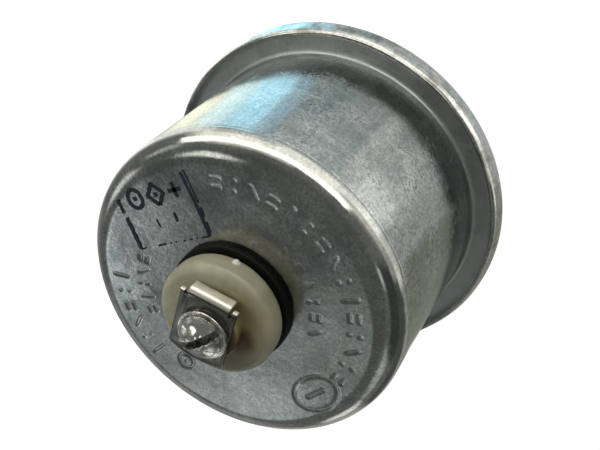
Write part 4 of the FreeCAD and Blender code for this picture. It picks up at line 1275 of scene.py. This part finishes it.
SKY_LEVELS = ((0.0, 0.20), (0.40, 0.19), (0.56, 0.14), (1.0, 0.17))    # elevation over 90 degrees, light
SKY_FIELDS = (      # azimuths and elevations in degrees, their soft edges, and light
    ((84, 148), (-12, 8), (24, 12), (1.35, 1.32, 1.20)),
    ((98, 148), (8, 24), (16, 10), (0.95, 0.92, 0.85)),
    ((36, 84), (-12, 8), (16, 12), (0.42, 0.40, 0.37)),
    ((164, 184), (12, 24), (8, 8), (0.65, 0.70, 0.68)),
    ((198, 214), (14, 30), (8, 8), (1.30, 1.30, 1.25)),
    ((164, 191), (47, 63), (7, 6), (1.90, 1.88, 1.78)),
    ((238, 272), (-5, 22), (12, 10), (0.42, 0.43, 0.41)),
    ((-35, 20), (-10, 31), (10, 6), (0.06, 0.07, 0.065)),
    ((2, 15), (34, 41), (6, 3), (0.95, 0.97, 0.95)),
    ((284, 298), (1, 17), (4, 5), (1.40, 1.40, 1.30)),
    ((300, 322), (16, 36), (8, 8), (0.60, 0.62, 0.60)),
    ((232, 245), (33, 43), (6, 4), (1.22, 1.31, 1.35)),
    ((244, 252), (33, 42), (5, 4), (0.46, 0.51, 0.51)),
    ((252, 264), (33, 44), (6, 4), (0.80, 0.85, 0.85)),
    ((257, 268), (45, 50), (6, 5), (0.42, 0.46, 0.44)),
)


def world():
    """Dim studio with soft bright fields near the horizon and over the face."""
    sky = bpy.data.worlds.new("studio")
    bpy.context.scene.world = sky
    sky.use_nodes = True
    p = Paint("studio", sky)
    x, y, z = p.xyz()
    elevation = p.put("Math", {"operation": "ARCSINE"}, i0=z).outputs[0]
    elevation = p.times(elevation, degrees(1))
    ramp = p.put("ValToRGB", i0=p.sharpen(elevation, 0, 90))
    while len(ramp.color_ramp.elements) < len(SKY_LEVELS):
        ramp.color_ramp.elements.new(0.5)
    for element, (at, level) in zip(ramp.color_ramp.elements, SKY_LEVELS):
        element.position = at
        element.color = rgb(0.97 * level, level, 0.96 * level)
    color = fields(p, degrees_round(p, x, y), elevation, SKY_FIELDS, ramp.outputs[0])
    background = p.tree.nodes["Background"]
    p.feed(background.inputs["Color"], color)
    background.inputs["Strength"].default_value = 1.0


CAMERA_PLACE = (35.95, 104.13, 166.0)
CAMERA_AIM = (4.1, 12.2, 44.2)
CAMERA_UP = (-0.44305, 0.76740, -0.46348)
CAMERA_LENS = 54.35


def camera():
    """Camera above the terminal, rolled so that the can leans as it does when held."""
    data = bpy.data.cameras.new("camera")
    data.lens = CAMERA_LENS
    data.sensor_width = 36.0
    data.clip_start = 0.005
    view = linked("camera", data)
    place_at = Vector(CAMERA_PLACE)
    back = (place_at - Vector(CAMERA_AIM)).normalized()
    right = Vector(CAMERA_UP).cross(back).normalized()
    turn = Matrix((right, back.cross(right), back)).transposed().to_4x4()
    view.matrix_world = Matrix.Translation(place_at * MM) @ turn
    bpy.context.scene.camera = view


camera()
floor()
reflector()
hanging_card()
backdrop()
lights()
world()
bpy.context.scene.view_settings.view_transform = "Standard"
made_materials = make_materials()
dress_cad_nodes(made_materials)
build(made_materials)
